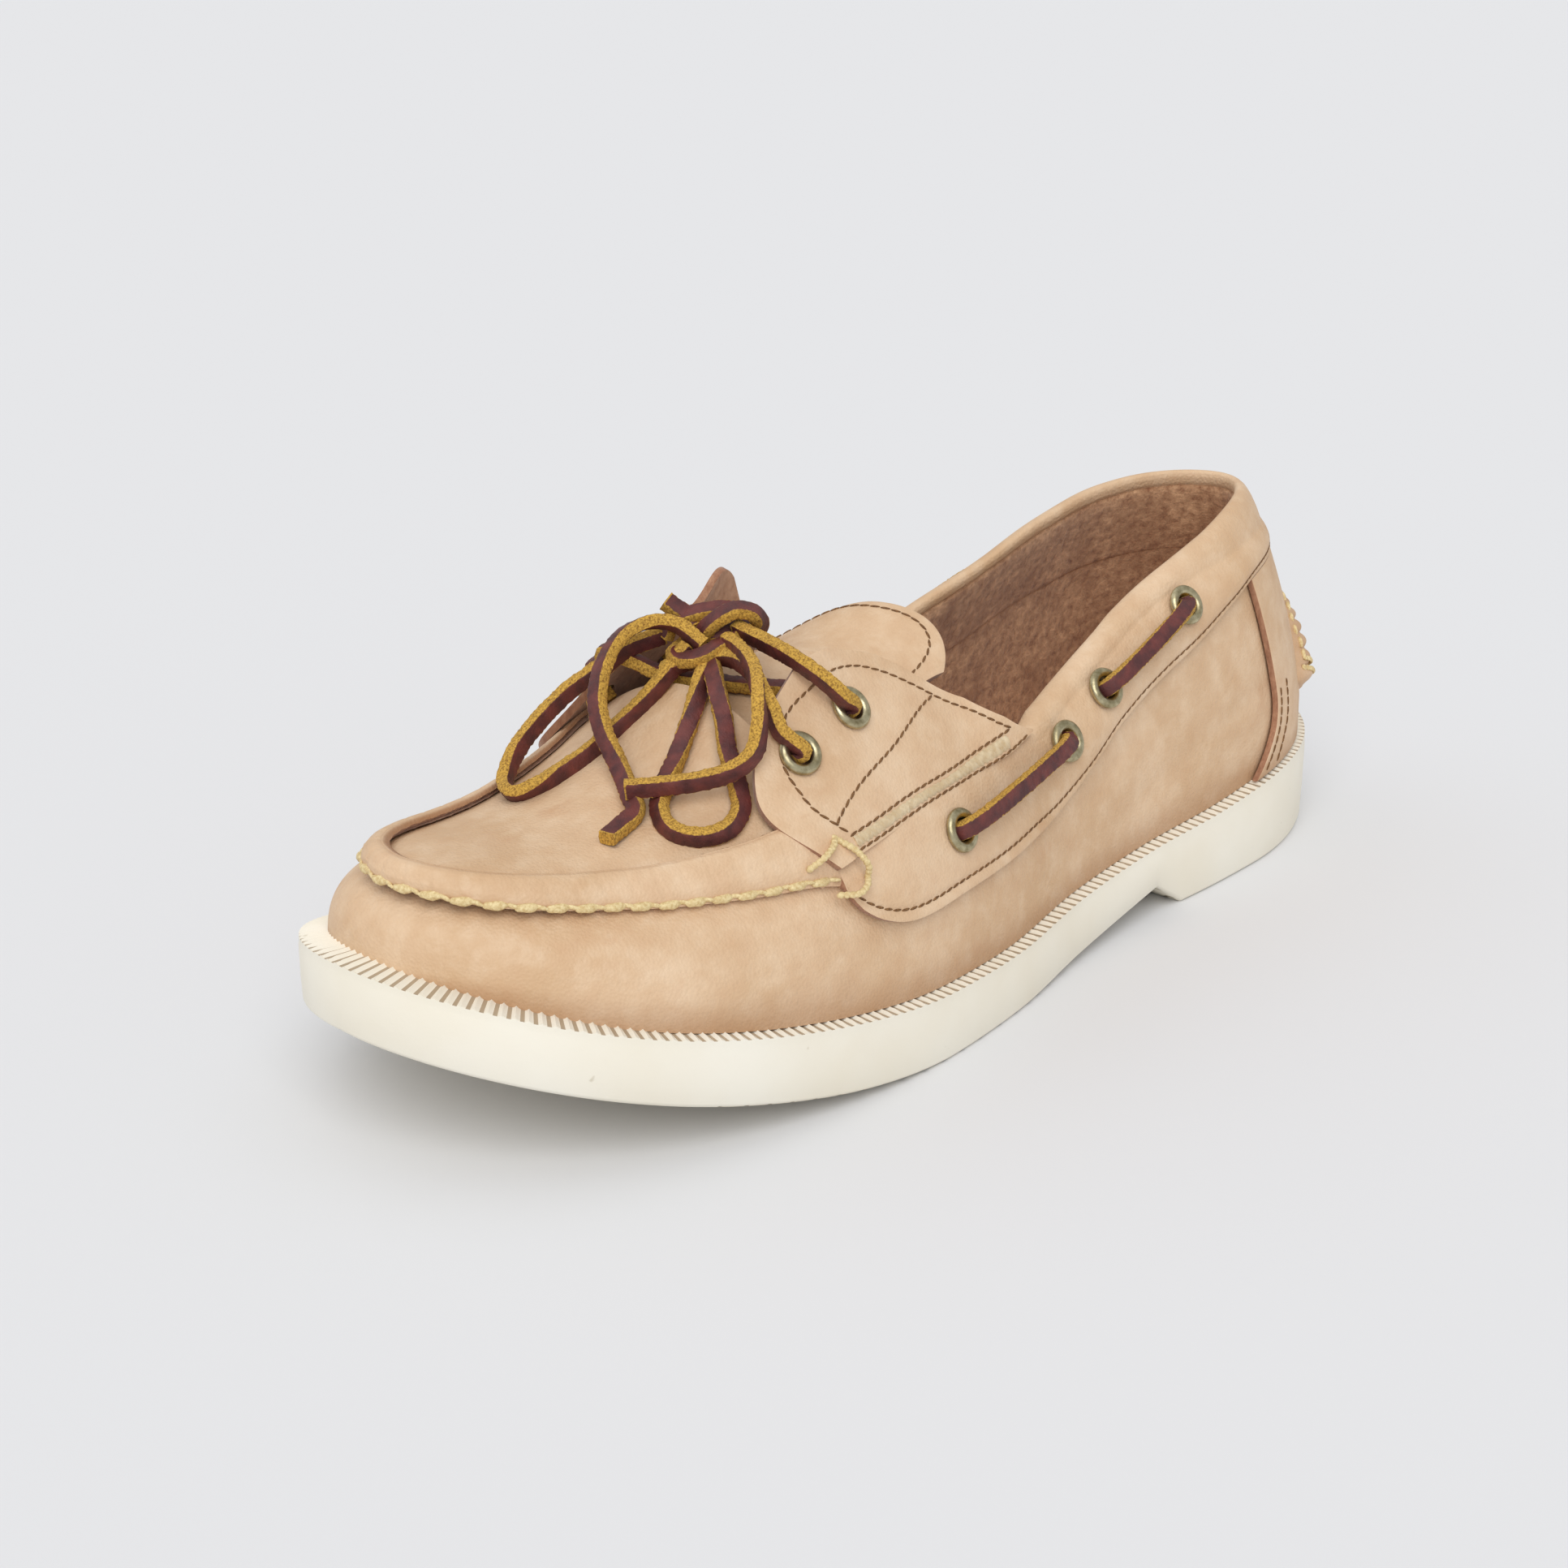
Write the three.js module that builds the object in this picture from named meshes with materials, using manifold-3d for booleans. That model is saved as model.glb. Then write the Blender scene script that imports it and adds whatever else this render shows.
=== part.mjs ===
// Left boat shoe: moccasin upper on a one-piece rubber sole, laced with rawhide.
// Millimetres. +X points to the toe, +Y to the wearer's left (the outer side), +Z up.
import * as THREE from 'three';
import Module from 'manifold-3d';
import { mergeVertices } from 'three/addons/utils/BufferGeometryUtils.js';

const wasm = await Module();
wasm.setup();

// Driving sizes
const soleLength = 300;
const ballWidth = 106;
const heelHeight = 23;
const toeSpring = 25.7;
const archRise = 7;
const heelBevel = 2;
const rimDepth = 1;
const heelLedge = 6.4;
const toeLedge = 4.5;
const sideLedge = 3.4;
const instepHeight = 66;
const heelLean = 23.5;
const upperWall = 2;
const leatherThickness = 1.6;
const insoleThickness = 4;
const tongueThickness = 2.4;
const toplineHeight = 64;
const ridgeHeight = 3.6;
const seamEdge = 0.5;
const ridgeWidth = 7;
const collarPadding = 2.1;
const collarRollRadius = 3;
const heelTurn = 26;
const heelRollHeight = 3.8;
const heelRollWidth = 9;
const leanStart = 10;
const eyestayLift = 9;
const eyestayNose = 12;
const counterReach = 44;
const counterFlare = 12;
const heelRollSpan = 24;
const heelRollFoot = 13;
const heelRollRise = 19;
const tongueHalfWidth = 21;
const tongueRoot = 213;
const tongueEnd = 154;
const tongueSlant = 9;
const tongueCorner = 11;
const tongueFlare = 6.5;
const laceWidth = 4.2;
const laceThickness = 2.6;
const cordWidth = 3.3;
const knotSize = { x: 13.4, y: 20.4, z: 11 };
const eyeletWidth = 9.4;
const eyeletBore = 5;
const eyeletBarrel = 6.2;
const eyeletRise = 1.3;
const clearance = 0.35;
const overlayGap = 0.6;

// Where the sole changes along its length, as shares of the length
const breastBack = 0.287;
const breastFront = 0.323;
const archFront = 0.56;
const treadFront = 0.62;
const toeCurlPower = 1.7;
const archFall = 2;
const heelRoundShare = 0.183;
const toeRoundShare = 0.233;
const toeBoxShare = 0.1;
const heelFadeShare = 0.33;

// Sole sections: at is the share of the length from the heel; middle and half are the outline's
// centre line and half width as shares of the ball width; thick is a share of the heel height.
const soleSections = [
  { at: 0.0, middle: -0.031, half: 0.302, thick: 1.0 },
  { at: 0.06, middle: -0.028, half: 0.32, thick: 0.98 },
  { at: 0.133, middle: -0.019, half: 0.33, thick: 0.943 },
  { at: 0.233, middle: -0.004, half: 0.339, thick: 0.83 },
  { at: 0.333, middle: 0.011, half: 0.336, thick: 0.75 },
  { at: 0.433, middle: 0.028, half: 0.356, thick: 0.68 },
  { at: 0.533, middle: 0.033, half: 0.418, thick: 0.62 },
  { at: 0.633, middle: 0.0175, half: 0.478, thick: 0.655 },
  { at: 0.717, middle: 0.0, half: 0.499, thick: 0.665 },
  { at: 0.8, middle: -0.012, half: 0.484, thick: 0.638 },
  { at: 0.873, middle: -0.021, half: 0.478, thick: 0.615 },
  { at: 0.933, middle: -0.028, half: 0.476, thick: 0.612 },
  { at: 1.0, middle: -0.036, half: 0.476, thick: 0.62 },
];

// Side of the sole: rise is the share of its thickness, inset how far it lies inside the outline.
const soleSide = [
  { rise: 0, inset: 1.2 },
  { rise: 0.07, inset: 0.2 },
  { rise: 0.7, inset: 0 },
  { rise: 0.72, inset: rimDepth },
  { rise: 0.8, inset: rimDepth },
  { rise: 0.83, inset: 0 },
  { rise: 1, inset: 0.2 },
];

// Upper sections: crown is the height of the form over the sole as a share of the instep height,
// power its roundness, ridge the shift of its top to the outer side as a share of the ball width.
const upperSections = [
  { at: 0.0, crown: 1.25, power: 2.0, ridge: 0.0 },
  { at: 0.167, crown: 1.22, power: 2.0, ridge: 0.0 },
  { at: 0.31, crown: 1.11, power: 2.0, ridge: -0.015 },
  { at: 0.433, crown: 1.0, power: 2.0, ridge: -0.035 },
  { at: 0.533, crown: 0.97, power: 1.95, ridge: -0.04 },
  { at: 0.6, crown: 0.99, power: 1.85, ridge: -0.03 },
  { at: 0.65, crown: 0.97, power: 1.8, ridge: -0.02 },
  { at: 0.7, crown: 0.84, power: 1.8, ridge: -0.005 },
  { at: 0.75, crown: 0.64, power: 2.05, ridge: 0.01 },
  { at: 0.817, crown: 0.48, power: 2.2, ridge: 0.015 },
  { at: 0.873, crown: 0.395, power: 2.3, ridge: 0.012 },
  { at: 0.92, crown: 0.355, power: 2.35, ridge: 0.005 },
  { at: 1.0, crown: 0.345, power: 2.35, ridge: 0.0 },
];

// Top edge of the wall around the ankle: heights over the sole as shares of the topline height
const topline = [
  { at: 0.0, lateral: 0.885, medial: 0.885 },
  { at: 0.1, lateral: 0.905, medial: 0.905 },
  { at: 0.167, lateral: 0.905, medial: 0.9 },
  { at: 0.25, lateral: 0.89, medial: 0.855 },
  { at: 0.32, lateral: 0.83, medial: 0.78 },
  { at: 0.367, lateral: 0.765, medial: 0.735 },
  { at: 0.417, lateral: 0.695, medial: 0.695 },
  { at: 0.455, lateral: 0.645, medial: 0.645 },
  { at: 0.48, lateral: 0.64, medial: 0.64 },
  { at: 0.5, lateral: 0.69, medial: 0.69 },
  { at: 0.52, lateral: 0.8, medial: 0.8 },
];

// Half width of the lacing gap, as a share of the ball width
const throat = [
  { at: 0.4, half: 0.197 },
  { at: 0.467, half: 0.270 },
  { at: 0.51, half: 0.270 },
  { at: 0.56, half: 0.228 },
  { at: 0.6, half: 0.201 },
  { at: 0.633, half: 0.187 },
  { at: 0.68, half: 0.174 },
  { at: 0.7, half: 0.149 },
  { at: 0.713, half: 0.073 },
];

// Seam around the apron, seen from above: lateral and medial are shares of the ball width
const apronOutline = [
  { at: 0.73, lateral: 0.362, medial: 0.295 },
  { at: 0.765, lateral: 0.338, medial: 0.27 },
  { at: 0.823, lateral: 0.282, medial: 0.235 },
  { at: 0.85, lateral: 0.249, medial: 0.222 },
  { at: 0.877, lateral: 0.216, medial: 0.208 },
  { at: 0.902, lateral: 0.179, medial: 0.187 },
  { at: 0.923, lateral: 0.132, medial: 0.155 },
  { at: 0.939, lateral: 0.066, medial: 0.105 },
];
const apronTip = { at: 0.9465, lateral: -0.02 };

// Band around the ankle: heights of its edges over the sole as shares of the topline height
const collarBand = [
  { at: 0.0, low: 0.71, high: 1.0 },
  { at: 0.08, low: 0.725, high: 1.0 },
  { at: 0.143, low: 0.745, high: 1.0 },
  { at: 0.19, low: 0.727, high: 1.0 },
  { at: 0.253, low: 0.665, high: 1.0 },
  { at: 0.3, low: 0.615, high: 1.0 },
  { at: 0.363, low: 0.534, high: 0.9 },
  { at: 0.411, low: 0.441, high: 0.75 },
  { at: 0.4585, low: 0.378, high: 0.64 },
  { at: 0.514, low: 0.348, high: 0.61 },
  { at: 0.588, low: 0.321, high: 0.575 },
  { at: 0.648, low: 0.297, high: 0.52 },
  { at: 0.67, low: 0.312, high: 0.485 },
  { at: 0.69, low: 0.352, high: 0.455 },
  { at: 0.697, low: 0.395, high: 0.435 },
];

// Eyestay from its front edge (at 0) to its point (at 1): from and to are the places along the
// sole of its lower and upper edge, low a share of the topline height, half a share of the ball width.
const eyestayRows = [
  { at: 0.0, from: 0.703, to: 0.69, low: 0.465, half: 0.178 },
  { at: 0.2, from: 0.675, to: 0.655, low: 0.505, half: 0.181 },
  { at: 0.45, from: 0.62, to: 0.605, low: 0.565, half: 0.193 },
  { at: 0.7, from: 0.555, to: 0.55, low: 0.605, half: 0.232 },
  { at: 0.9, from: 0.503, to: 0.502, low: 0.64, half: 0.272 },
  { at: 1.0, from: 0.476, to: 0.474, low: 0.655, half: 0.291 },
];

// Eyelets: at is the place along the sole, height a share of the topline height
const collarEyelets = [
  { name: 'one', at: 0.586, height: 0.475 },
  { name: 'two', at: 0.442, height: 0.56 },
  { name: 'three', at: 0.386, height: 0.66 },
  { name: 'four', at: 0.264, height: 0.81 },
];
const eyestayEyelets = [
  { name: 'front', along: 0.12, up: 0.6 },
  { name: 'rear', along: 0.32, up: 0.67 },
];

// Lace from a front eyelet over the flap's corner and the tongue, down under the other flap: at is
// the place along the sole, across a share of the ball width, up a share of the instep height.
const crossingRoute = [
  { at: 0.702, across: 0.31, up: 0.796 },
  { at: 0.706, across: 0.251, up: 0.873 },
  { at: 0.714, across: 0.209, up: 0.922 },
  { at: 0.708, across: 0.16, up: 0.905 },
  { at: 0.695, across: 0.085, up: 0.871 },
  { at: 0.68, across: 0.0, up: 0.876 },
  { at: 0.663, across: -0.085, up: 0.89 },
  { at: 0.652, across: -0.142, up: 0.885 },
];

// Routes of the bow, chosen by hand: x forward of the middle of the sole, y outward, z up
const knotPlace = [51, -4, 82.8];
const cordRoutes = {
  lace_strand_lateral: [[43.3, 30.8, 74.5], [44.2, 25.9, 79.2], [46, 19.5, 85], [50.3, 6.8, 84.8]],
  lace_strand_medial: [[43.3, -30.8, 73.8], [44.2, -25.9, 78.6], [46, -20, 84.4], [48, -15.6, 84.6]],
  lace_end_one: [
    [51, -14.5, 88], [57.5, -14.5, 89.4], [63, -13.8, 88.2], [69, -12.8, 83.6], [75, -11, 76], [80, -5, 68.5],
    [85, 5, 62], [88, 11.5, 60.5], [93, 14, 59], [99, 15.5, 57.4],
  ],
  lace_end_two: [
    [53.2, 6.2, 81.3], [61.5, 16.5, 84.4], [68, 25.2, 79], [71, 27.5, 71.5], [74, 26, 67.5], [80, 21, 65.8],
    [87, 16, 65], [91, 10, 64.5],
  ],
  lace_loop_left: [
    [60, -9.5, 80], [67.5, -5, 75.5], [73, -9, 68.5], [80, -15.6, 64], [92, -16, 60], [95, -20, 58.5],
    [90, -25, 60], [83, -27, 64.5], [76, -25.5, 71], [69, -21, 79.2], [62.5, -17, 84], [54.6, -13.7, 84],
  ],
  lace_loop_lower: [
    [59, -2, 79], [65, 3, 74], [75, 8, 68], [81, 11.5, 63], [86.5, 18, 59.5], [86, 24.4, 58.2],
    [81, 27.6, 58.8], [74, 27, 61.8], [69, 23.5, 64], [67.5, 17.6, 70], [64, 10.5, 79.6], [58, 4, 81.5],
  ],
};

function column(table, name, at) {
  const rows = table.length;
  let i = 0;
  while (i < rows - 2 && table[i + 1].at < at) {
    i += 1;
  }
  const slope = (k) => {
    const lo = table[Math.max(k - 1, 0)];
    const hi = table[Math.min(k + 1, rows - 1)];
    return (hi[name] - lo[name]) / (hi.at - lo.at);
  };
  const [a, b] = [table[i], table[i + 1]];
  const width = b.at - a.at;
  const t = THREE.MathUtils.clamp((at - a.at) / width, 0, 1);
  const blend = t * t * (3 - 2 * t);
  const ends = a[name] * (1 - blend) + b[name] * blend;
  return ends + width * (slope(i) * t * (1 - t) ** 2 - slope(i + 1) * t * t * (1 - t));
}

// Share of the full width that is left near a rounded end, a distance in from its tip
function roundEnd(distance, radius, power = 2) {
  const t = THREE.MathUtils.clamp((radius - distance) / radius, 0, 1);
  return (1 - t ** power) ** (1 / power);
}

const fromHeel = (s) => s - soleLength / 2;

// Underside of the sole: heel, breast, arch, a flat tread under the ball, and toe spring
function undersideAt(s) {
  const at = s / soleLength;
  if (at < 0.05) {
    return heelBevel * (1 - at / 0.05) ** 2;
  }
  if (at < breastBack) {
    return 0;
  }
  if (at < breastFront) {
    return archRise * (at - breastBack) / (breastFront - breastBack);
  }
  if (at < archFront) {
    const t = (archFront - at) / (archFront - breastFront);
    return archRise * t ** archFall;
  }
  const curl = Math.max(at - treadFront, 0) / (1 - treadFront);
  return toeSpring * curl ** toeCurlPower;
}

function soleTopAt(s) {
  const at = s / soleLength;
  const curl = Math.max(at - treadFront, 0) / (1 - treadFront);
  return toeSpring * curl ** toeCurlPower + heelHeight * column(soleSections, 'thick', at);
}

// A closed solid through rings of points; each end is closed by a strip across its ring.
function loft(rings) {
  const count = rings[0].length;
  const positions = rings.flat().flatMap((p) => [p.x, p.y, p.z]);
  const faces = [];
  for (let i = 0; i + 1 < rings.length; i += 1) {
    for (let j = 0; j < count; j += 1) {
      const [a, b] = [i * count + j, i * count + (j + 1) % count];
      faces.push(a, b, b + count, a, b + count, a + count);
    }
  }
  const cap = (start, flip) => {
    for (let i = 0, k = count - 1; k - i > 1; i += 1, k -= 1) {
      const strip = k - i > 2 ? [[i, i + 1, k], [i + 1, k - 1, k]] : [[i, i + 1, k]];
      for (const [a, b, c] of strip) {
        faces.push(...(flip ? [start + a, start + c, start + b] : [start + a, start + b, start + c]));
      }
    }
  };
  cap(0, true);
  cap((rings.length - 1) * count, false);
  const geometry = new THREE.BufferGeometry();
  geometry.setAttribute('position', new THREE.Float32BufferAttribute(positions, 3));
  geometry.setIndex(faces);
  return outward(mergeVertices(geometry, 1e-4));
}

// Turns a closed mesh right side out and drops the triangles that closed up.
function outward(geometry) {
  const p = geometry.attributes.position;
  const index = [];
  const old = geometry.index.array;
  const [a, b, c] = [new THREE.Vector3(), new THREE.Vector3(), new THREE.Vector3()];
  let volume = 0;
  for (let i = 0; i < old.length; i += 3) {
    const [u, v, w] = old.slice(i, i + 3);
    if (u !== v && v !== w && w !== u) {
      index.push(u, v, w);
      a.fromBufferAttribute(p, u);
      b.fromBufferAttribute(p, v);
      c.fromBufferAttribute(p, w);
      volume += a.dot(b.cross(c));
    }
  }
  geometry.setIndex(volume < 0 ? index.reverse() : index);
  return geometry;
}

// A three.js shape with its shared vertices merged
function closed(geometry) {
  geometry.deleteAttribute('normal');
  geometry.deleteAttribute('uv');
  return outward(mergeVertices(geometry, 1e-4));
}

function solid(geometry) {
  return new wasm.Manifold(new wasm.Mesh({
    numProp: 3,
    vertProperties: new Float32Array(geometry.attributes.position.array),
    triVerts: new Uint32Array(geometry.index.array),
  }));
}

function fromSolid(manifold) {
  const mesh = manifold.getMesh();
  const geometry = new THREE.BufferGeometry();
  geometry.setAttribute('position', new THREE.Float32BufferAttribute(mesh.vertProperties, 3));
  geometry.setIndex(Array.from(mesh.triVerts));
  return geometry;
}

const range = (count) => Array.from({ length: count + 1 }, (_, i) => i / count);

// Stations from heel to toe, close together at both ends
const alongFoot = (count) => range(count).map((t) => 0.001 + 0.998 * (0.5 - 0.5 * Math.cos(Math.PI * t)));

// Sole
function soleRing(share) {
  const s = soleLength * share;
  const rounding = roundEnd(s, heelRoundShare * soleLength) *
    roundEnd(soleLength - s, toeRoundShare * soleLength);
  const middle = ballWidth * column(soleSections, 'middle', share);
  const half = ballWidth * column(soleSections, 'half', share) * rounding;
  const low = undersideAt(s);
  const high = soleTopAt(s);
  const point = (row, side) => {
    const reach = Math.max(half - row.inset * Math.min(half / 12, 1), 0.2);
    const end = row.inset * (1 - rounding) * Math.sign(0.5 - share);
    return new THREE.Vector3(fromHeel(s) + end, middle + side * reach, low + (high - low) * row.rise);
  };
  const lateral = soleSide.map((row) => point(row, 1));
  const medial = soleSide.map((row) => point(row, -1)).reverse();
  return [...lateral, ...medial];
}

const soleStations = [...alongFoot(24), breastBack, breastFront, archFront, treadFront].sort((a, b) => a - b);

// Upper form: the outer skin of the leather at offset 0; larger offsets lie outside it.
function upperSection(a, offset) {
  const heelTip = heelLedge - offset;
  const toeTip = soleLength - toeLedge + offset;
  const s = heelTip + a * (toeTip - heelTip);
  const at = THREE.MathUtils.clamp(s / soleLength, 0, 1);
  const toe = soleLength - toeLedge;
  const rounding = roundEnd(s - heelTip, heelRoundShare * soleLength - heelLedge + offset) *
    roundEnd(toeTip - s, toeRoundShare * soleLength - toeLedge + offset);
  const half = ballWidth * column(soleSections, 'half', at) - sideLedge + offset;
  const shift = ballWidth * column(upperSections, 'ridge', at);
  const box = roundEnd(toeTip - s, toeBoxShare * soleLength + offset, 2.2);
  return {
    s,
    x: fromHeel(s),
    base: soleTopAt(Math.min(Math.max(s, 0), toe)) + clearance,
    ridge: ballWidth * column(soleSections, 'middle', at) + shift * rounding,
    lateral: (half - shift) * rounding,
    medial: (half + shift) * rounding,
    crown: (instepHeight * column(upperSections, 'crown', at) + offset) * box,
    power: column(upperSections, 'power', at),
  };
}

// The heel leans forward with height.
function leanAt(s, height) {
  const fade = THREE.MathUtils.clamp(1 - (s - heelLedge) / (heelFadeShare * soleLength), 0, 1);
  return heelLean * (Math.max(height - leanStart, 0) / toplineHeight) ** 1.2 * fade;
}

// A point by its height over the sole, on the lateral (side 1) or medial (side -1) wall
function onUpper(a, side, height, offset) {
  const c = upperSection(a, offset);
  const share = Math.min(height / c.crown, 1);
  const reach = (side > 0 ? c.lateral : c.medial) * (1 - share ** c.power) ** (1 / c.power);
  return new THREE.Vector3(c.x + leanAt(c.s, height), c.ridge + side * reach, c.base + height);
}

// A point by its place in plan, on top of the form
function overUpper(a, y, offset) {
  const c = upperSection(a, offset);
  const share = Math.min(Math.abs(y - c.ridge) / (y > c.ridge ? c.lateral : c.medial), 1);
  const height = c.crown * (1 - share ** c.power) ** (1 / c.power);
  return new THREE.Vector3(c.x + leanAt(c.s, height), y, c.base + height);
}

const shareOfUpper = (s) => (s - heelLedge) / (soleLength - toeLedge - heelLedge);

function upperForm(offset, drop, stations, facets) {
  return loft(alongFoot(stations).map((a) => {
    const c = upperSection(a, offset);
    const arc = range(facets).map((t) => {
      const angle = Math.PI * t;
      const side = t < 0.5 ? c.lateral : -c.medial;
      const across = side * Math.abs(Math.cos(angle)) ** (2 / c.power);
      const height = c.crown * Math.sin(angle) ** (2 / c.power);
      return new THREE.Vector3(c.x + leanAt(c.s, height), c.ridge + across, c.base + height);
    });
    if (drop === 0) {
      return arc;
    }
    const [first, last] = [arc[0].clone(), arc[arc.length - 1].clone()];
    first.z -= drop;
    last.z -= drop;
    return [first, ...arc, last];
  }));
}

const high = 200;
const wide = 90;

function collarOpening() {
  return loft(range(22).map((t) => {
    const at = -0.05 + t * 0.52;
    const s = at * soleLength;
    const base = soleTopAt(Math.max(s, 0)) + clearance;
    const lean = leanAt(s, toplineHeight * column(topline, 'lateral', at));
    const place = (y, z) => new THREE.Vector3(fromHeel(s) + lean, y, z);
    const lateral = base + toplineHeight * column(topline, 'lateral', at);
    const medial = base + toplineHeight * column(topline, 'medial', at);
    return [place(wide, lateral), place(wide, high), place(-wide, high), place(-wide, medial)];
  }));
}

function throatOpening() {
  const [rear, front] = [throat[0].at, throat[throat.length - 1].at];
  return loft(range(18).map((t) => {
    const at = rear + t * (front - rear);
    const s = at * soleLength;
    const half = ballWidth * column(throat, 'half', at);
    const { ridge, base } = upperSection(shareOfUpper(s), 0);
    const place = (side, z) => new THREE.Vector3(fromHeel(s), ridge + side * half, z);
    const floor = base + instepHeight / 3;
    return [place(1, floor), place(1, high), place(-1, high), place(-1, floor)];
  }));
}

function upper() {
  const skin = solid(upperForm(0, 0, 40, 18));
  const inside = solid(upperForm(-upperWall, heelHeight / 2, 26, 14));
  const openings = solid(collarOpening()).add(solid(throatOpening()));
  return fromSolid(skin.subtract(inside).subtract(openings));
}

// A sheet of leather: place(u, v, outer) gives its two faces.
function sheet(uCount, vCount, place) {
  return loft(range(uCount).map((u) => {
    const outer = range(vCount).map((v) => place(u, v, true));
    const inner = range(vCount).map((v) => place(u, v, false)).reverse();
    return [...outer, ...inner];
  }));
}

function insole() {
  const gap = 2 * clearance;
  const [rear, front] = [0.012, 0.985];
  return loft(range(24).map((t) => {
    const a = rear + (front - rear) * (0.5 - 0.5 * Math.cos(Math.PI * t));
    const low = upperSection(a, -upperWall - gap);
    const place = (y, z) => new THREE.Vector3(low.x, low.ridge + y, low.base + z);
    return [
      place(low.lateral, 0), place(low.lateral * 0.985, insoleThickness),
      place(-low.medial * 0.985, insoleThickness), place(-low.medial, 0),
    ];
  }));
}

// Rounded seam or roll on the upper: path(t) gives a place in plan or around the heel, and width
// and height its section over the leather below.
function apronCurve() {
  const row = (r, side) => {
    const y = side * ballWidth * (side > 0 ? r.lateral : r.medial);
    return new THREE.Vector3(soleLength * r.at, y, 0);
  };
  const lateral = apronOutline.map((r) => row(r, 1));
  const medial = apronOutline.map((r) => row(r, -1)).reverse();
  return new THREE.CatmullRomCurve3([...lateral, row(apronTip, 1), ...medial], false, 'centripetal');
}

function apronSeam() {
  const curve = apronCurve();
  return sheet(40, 3, (u, v, outer) => {
    const p = curve.getPointAt(u);
    const way = curve.getTangentAt(u);
    const across = (v - 0.5) * ridgeWidth;
    const bump = seamEdge + (ridgeHeight - seamEdge) * Math.sin(Math.PI * v) ** 1.5;
    return overUpper(shareOfUpper(p.x + way.y * across), p.y - way.x * across, overlayGap + (outer ? bump : 0));
  });
}

function apron() {
  const gap = ridgeWidth / 2 + clearance;
  const [rear, front] = [apronOutline[0].at, apronTip.at - gap / soleLength - 0.011];
  return sheet(12, 8, (u, v, outer) => {
    const at = rear + (front - rear) * (1 - (1 - u) ** 1.4);
    const slope = 1 + 2.2 * u ** 3;
    const lateral = ballWidth * column(apronOutline, 'lateral', at) - gap * slope;
    const medial = ballWidth * column(apronOutline, 'medial', at) - gap * slope;
    const y = lateral - v * (lateral + medial);
    return overUpper(shareOfUpper(soleLength * at), y, overlayGap + (outer ? leatherThickness : 0));
  });
}

const atHeight = (table, name, at) => toplineHeight * column(table, name, at);

function bandTop(at, side) {
  const wall = atHeight(topline, side > 0 ? 'lateral' : 'medial', Math.min(at, topline[topline.length - 1].at));
  return Math.min(wall, atHeight(collarBand, 'high', at));
}

// Place along the sole of a step (way -1 to 1) round the heel, evenly spaced along the leather
function roundHeel(way, front) {
  const length = soleLength * front - heelLedge;
  const reach = Math.sqrt((length + heelTurn) ** 2 - heelTurn ** 2);
  return (heelLedge + Math.sqrt(heelTurn ** 2 + (way * reach) ** 2) - heelTurn) / soleLength;
}

// The step round the heel that reaches a place along the sole
function wayTo(at, front) {
  const length = (place) => (soleLength * place - heelLedge + heelTurn) ** 2 - heelTurn ** 2;
  return Math.sqrt(length(at) / length(front));
}

const bandFront = collarBand[collarBand.length - 1].at;

// A place on the collar band, u from the lateral front round the heel to the medial front
function onBand(u, v, offset) {
  const way = 1 - 2 * u;
  const at = roundHeel(way, bandFront);
  const side = way >= 0 ? 1 : -1;
  const low = atHeight(collarBand, 'low', at);
  return onUpper(shareOfUpper(soleLength * at), side, low + v * (bandTop(at, side) - low), offset);
}

function paddingAt(u, v) {
  const soft = 1 - THREE.MathUtils.smoothstep(roundHeel(1 - 2 * u, bandFront), 0.4, 0.5);
  return collarPadding * Math.sin(Math.PI * v) * soft;
}

function collarLeather() {
  return sheet(46, 4, (u, v, outer) =>
    onBand(u, v, overlayGap + (outer ? leatherThickness + paddingAt(u, v) : 0)));
}

function onEyestay(side, u, v, height) {
  const row = (name) => column(eyestayRows, name, u);
  const offset = height + (leatherThickness + clearance) * (1 - THREE.MathUtils.smoothstep(u, 0.05, 0.4));
  const nose = eyestayNose * Math.sin(Math.PI * v) * (1 - u) ** 6;
  const s = soleLength * (row('from') * (1 - v) + row('to') * v) + nose;
  const c = upperSection(shareOfUpper(s), offset);
  const width = side > 0 ? c.lateral : c.medial;
  const low = Math.asin((toplineHeight * row('low') / c.crown) ** (c.power / 2));
  const top = Math.acos((ballWidth * row('half') / width) ** (c.power / 2));
  const angle = low + v * (top - low);
  const lift = eyestayLift * (1 - u) ** 1.2 * v * v;
  return new THREE.Vector3(
    c.x,
    c.ridge + side * width * Math.cos(angle) ** (2 / c.power),
    c.base + c.crown * Math.sin(angle) ** (2 / c.power) + lift,
  );
}

function eyestay(side) {
  return sheet(13, 5, (u, v, outer) => onEyestay(side, u, v, overlayGap + (outer ? leatherThickness : 0)));
}

function heelCounter() {
  return sheet(22, 4, (u, v, outer) => {
    const way = 1 - 2 * u;
    const edge = counterReach + counterFlare * Math.max(1 - v / 0.4, 0) ** 2;
    const s = heelLedge + (edge - heelLedge) * way * way;
    const height = clearance + v * (atHeight(collarBand, 'low', s / soleLength) - 4 * clearance);
    return onUpper(shareOfUpper(s), way >= 0 ? 1 : -1, height, overlayGap + (outer ? leatherThickness : 0));
  });
}

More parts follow.
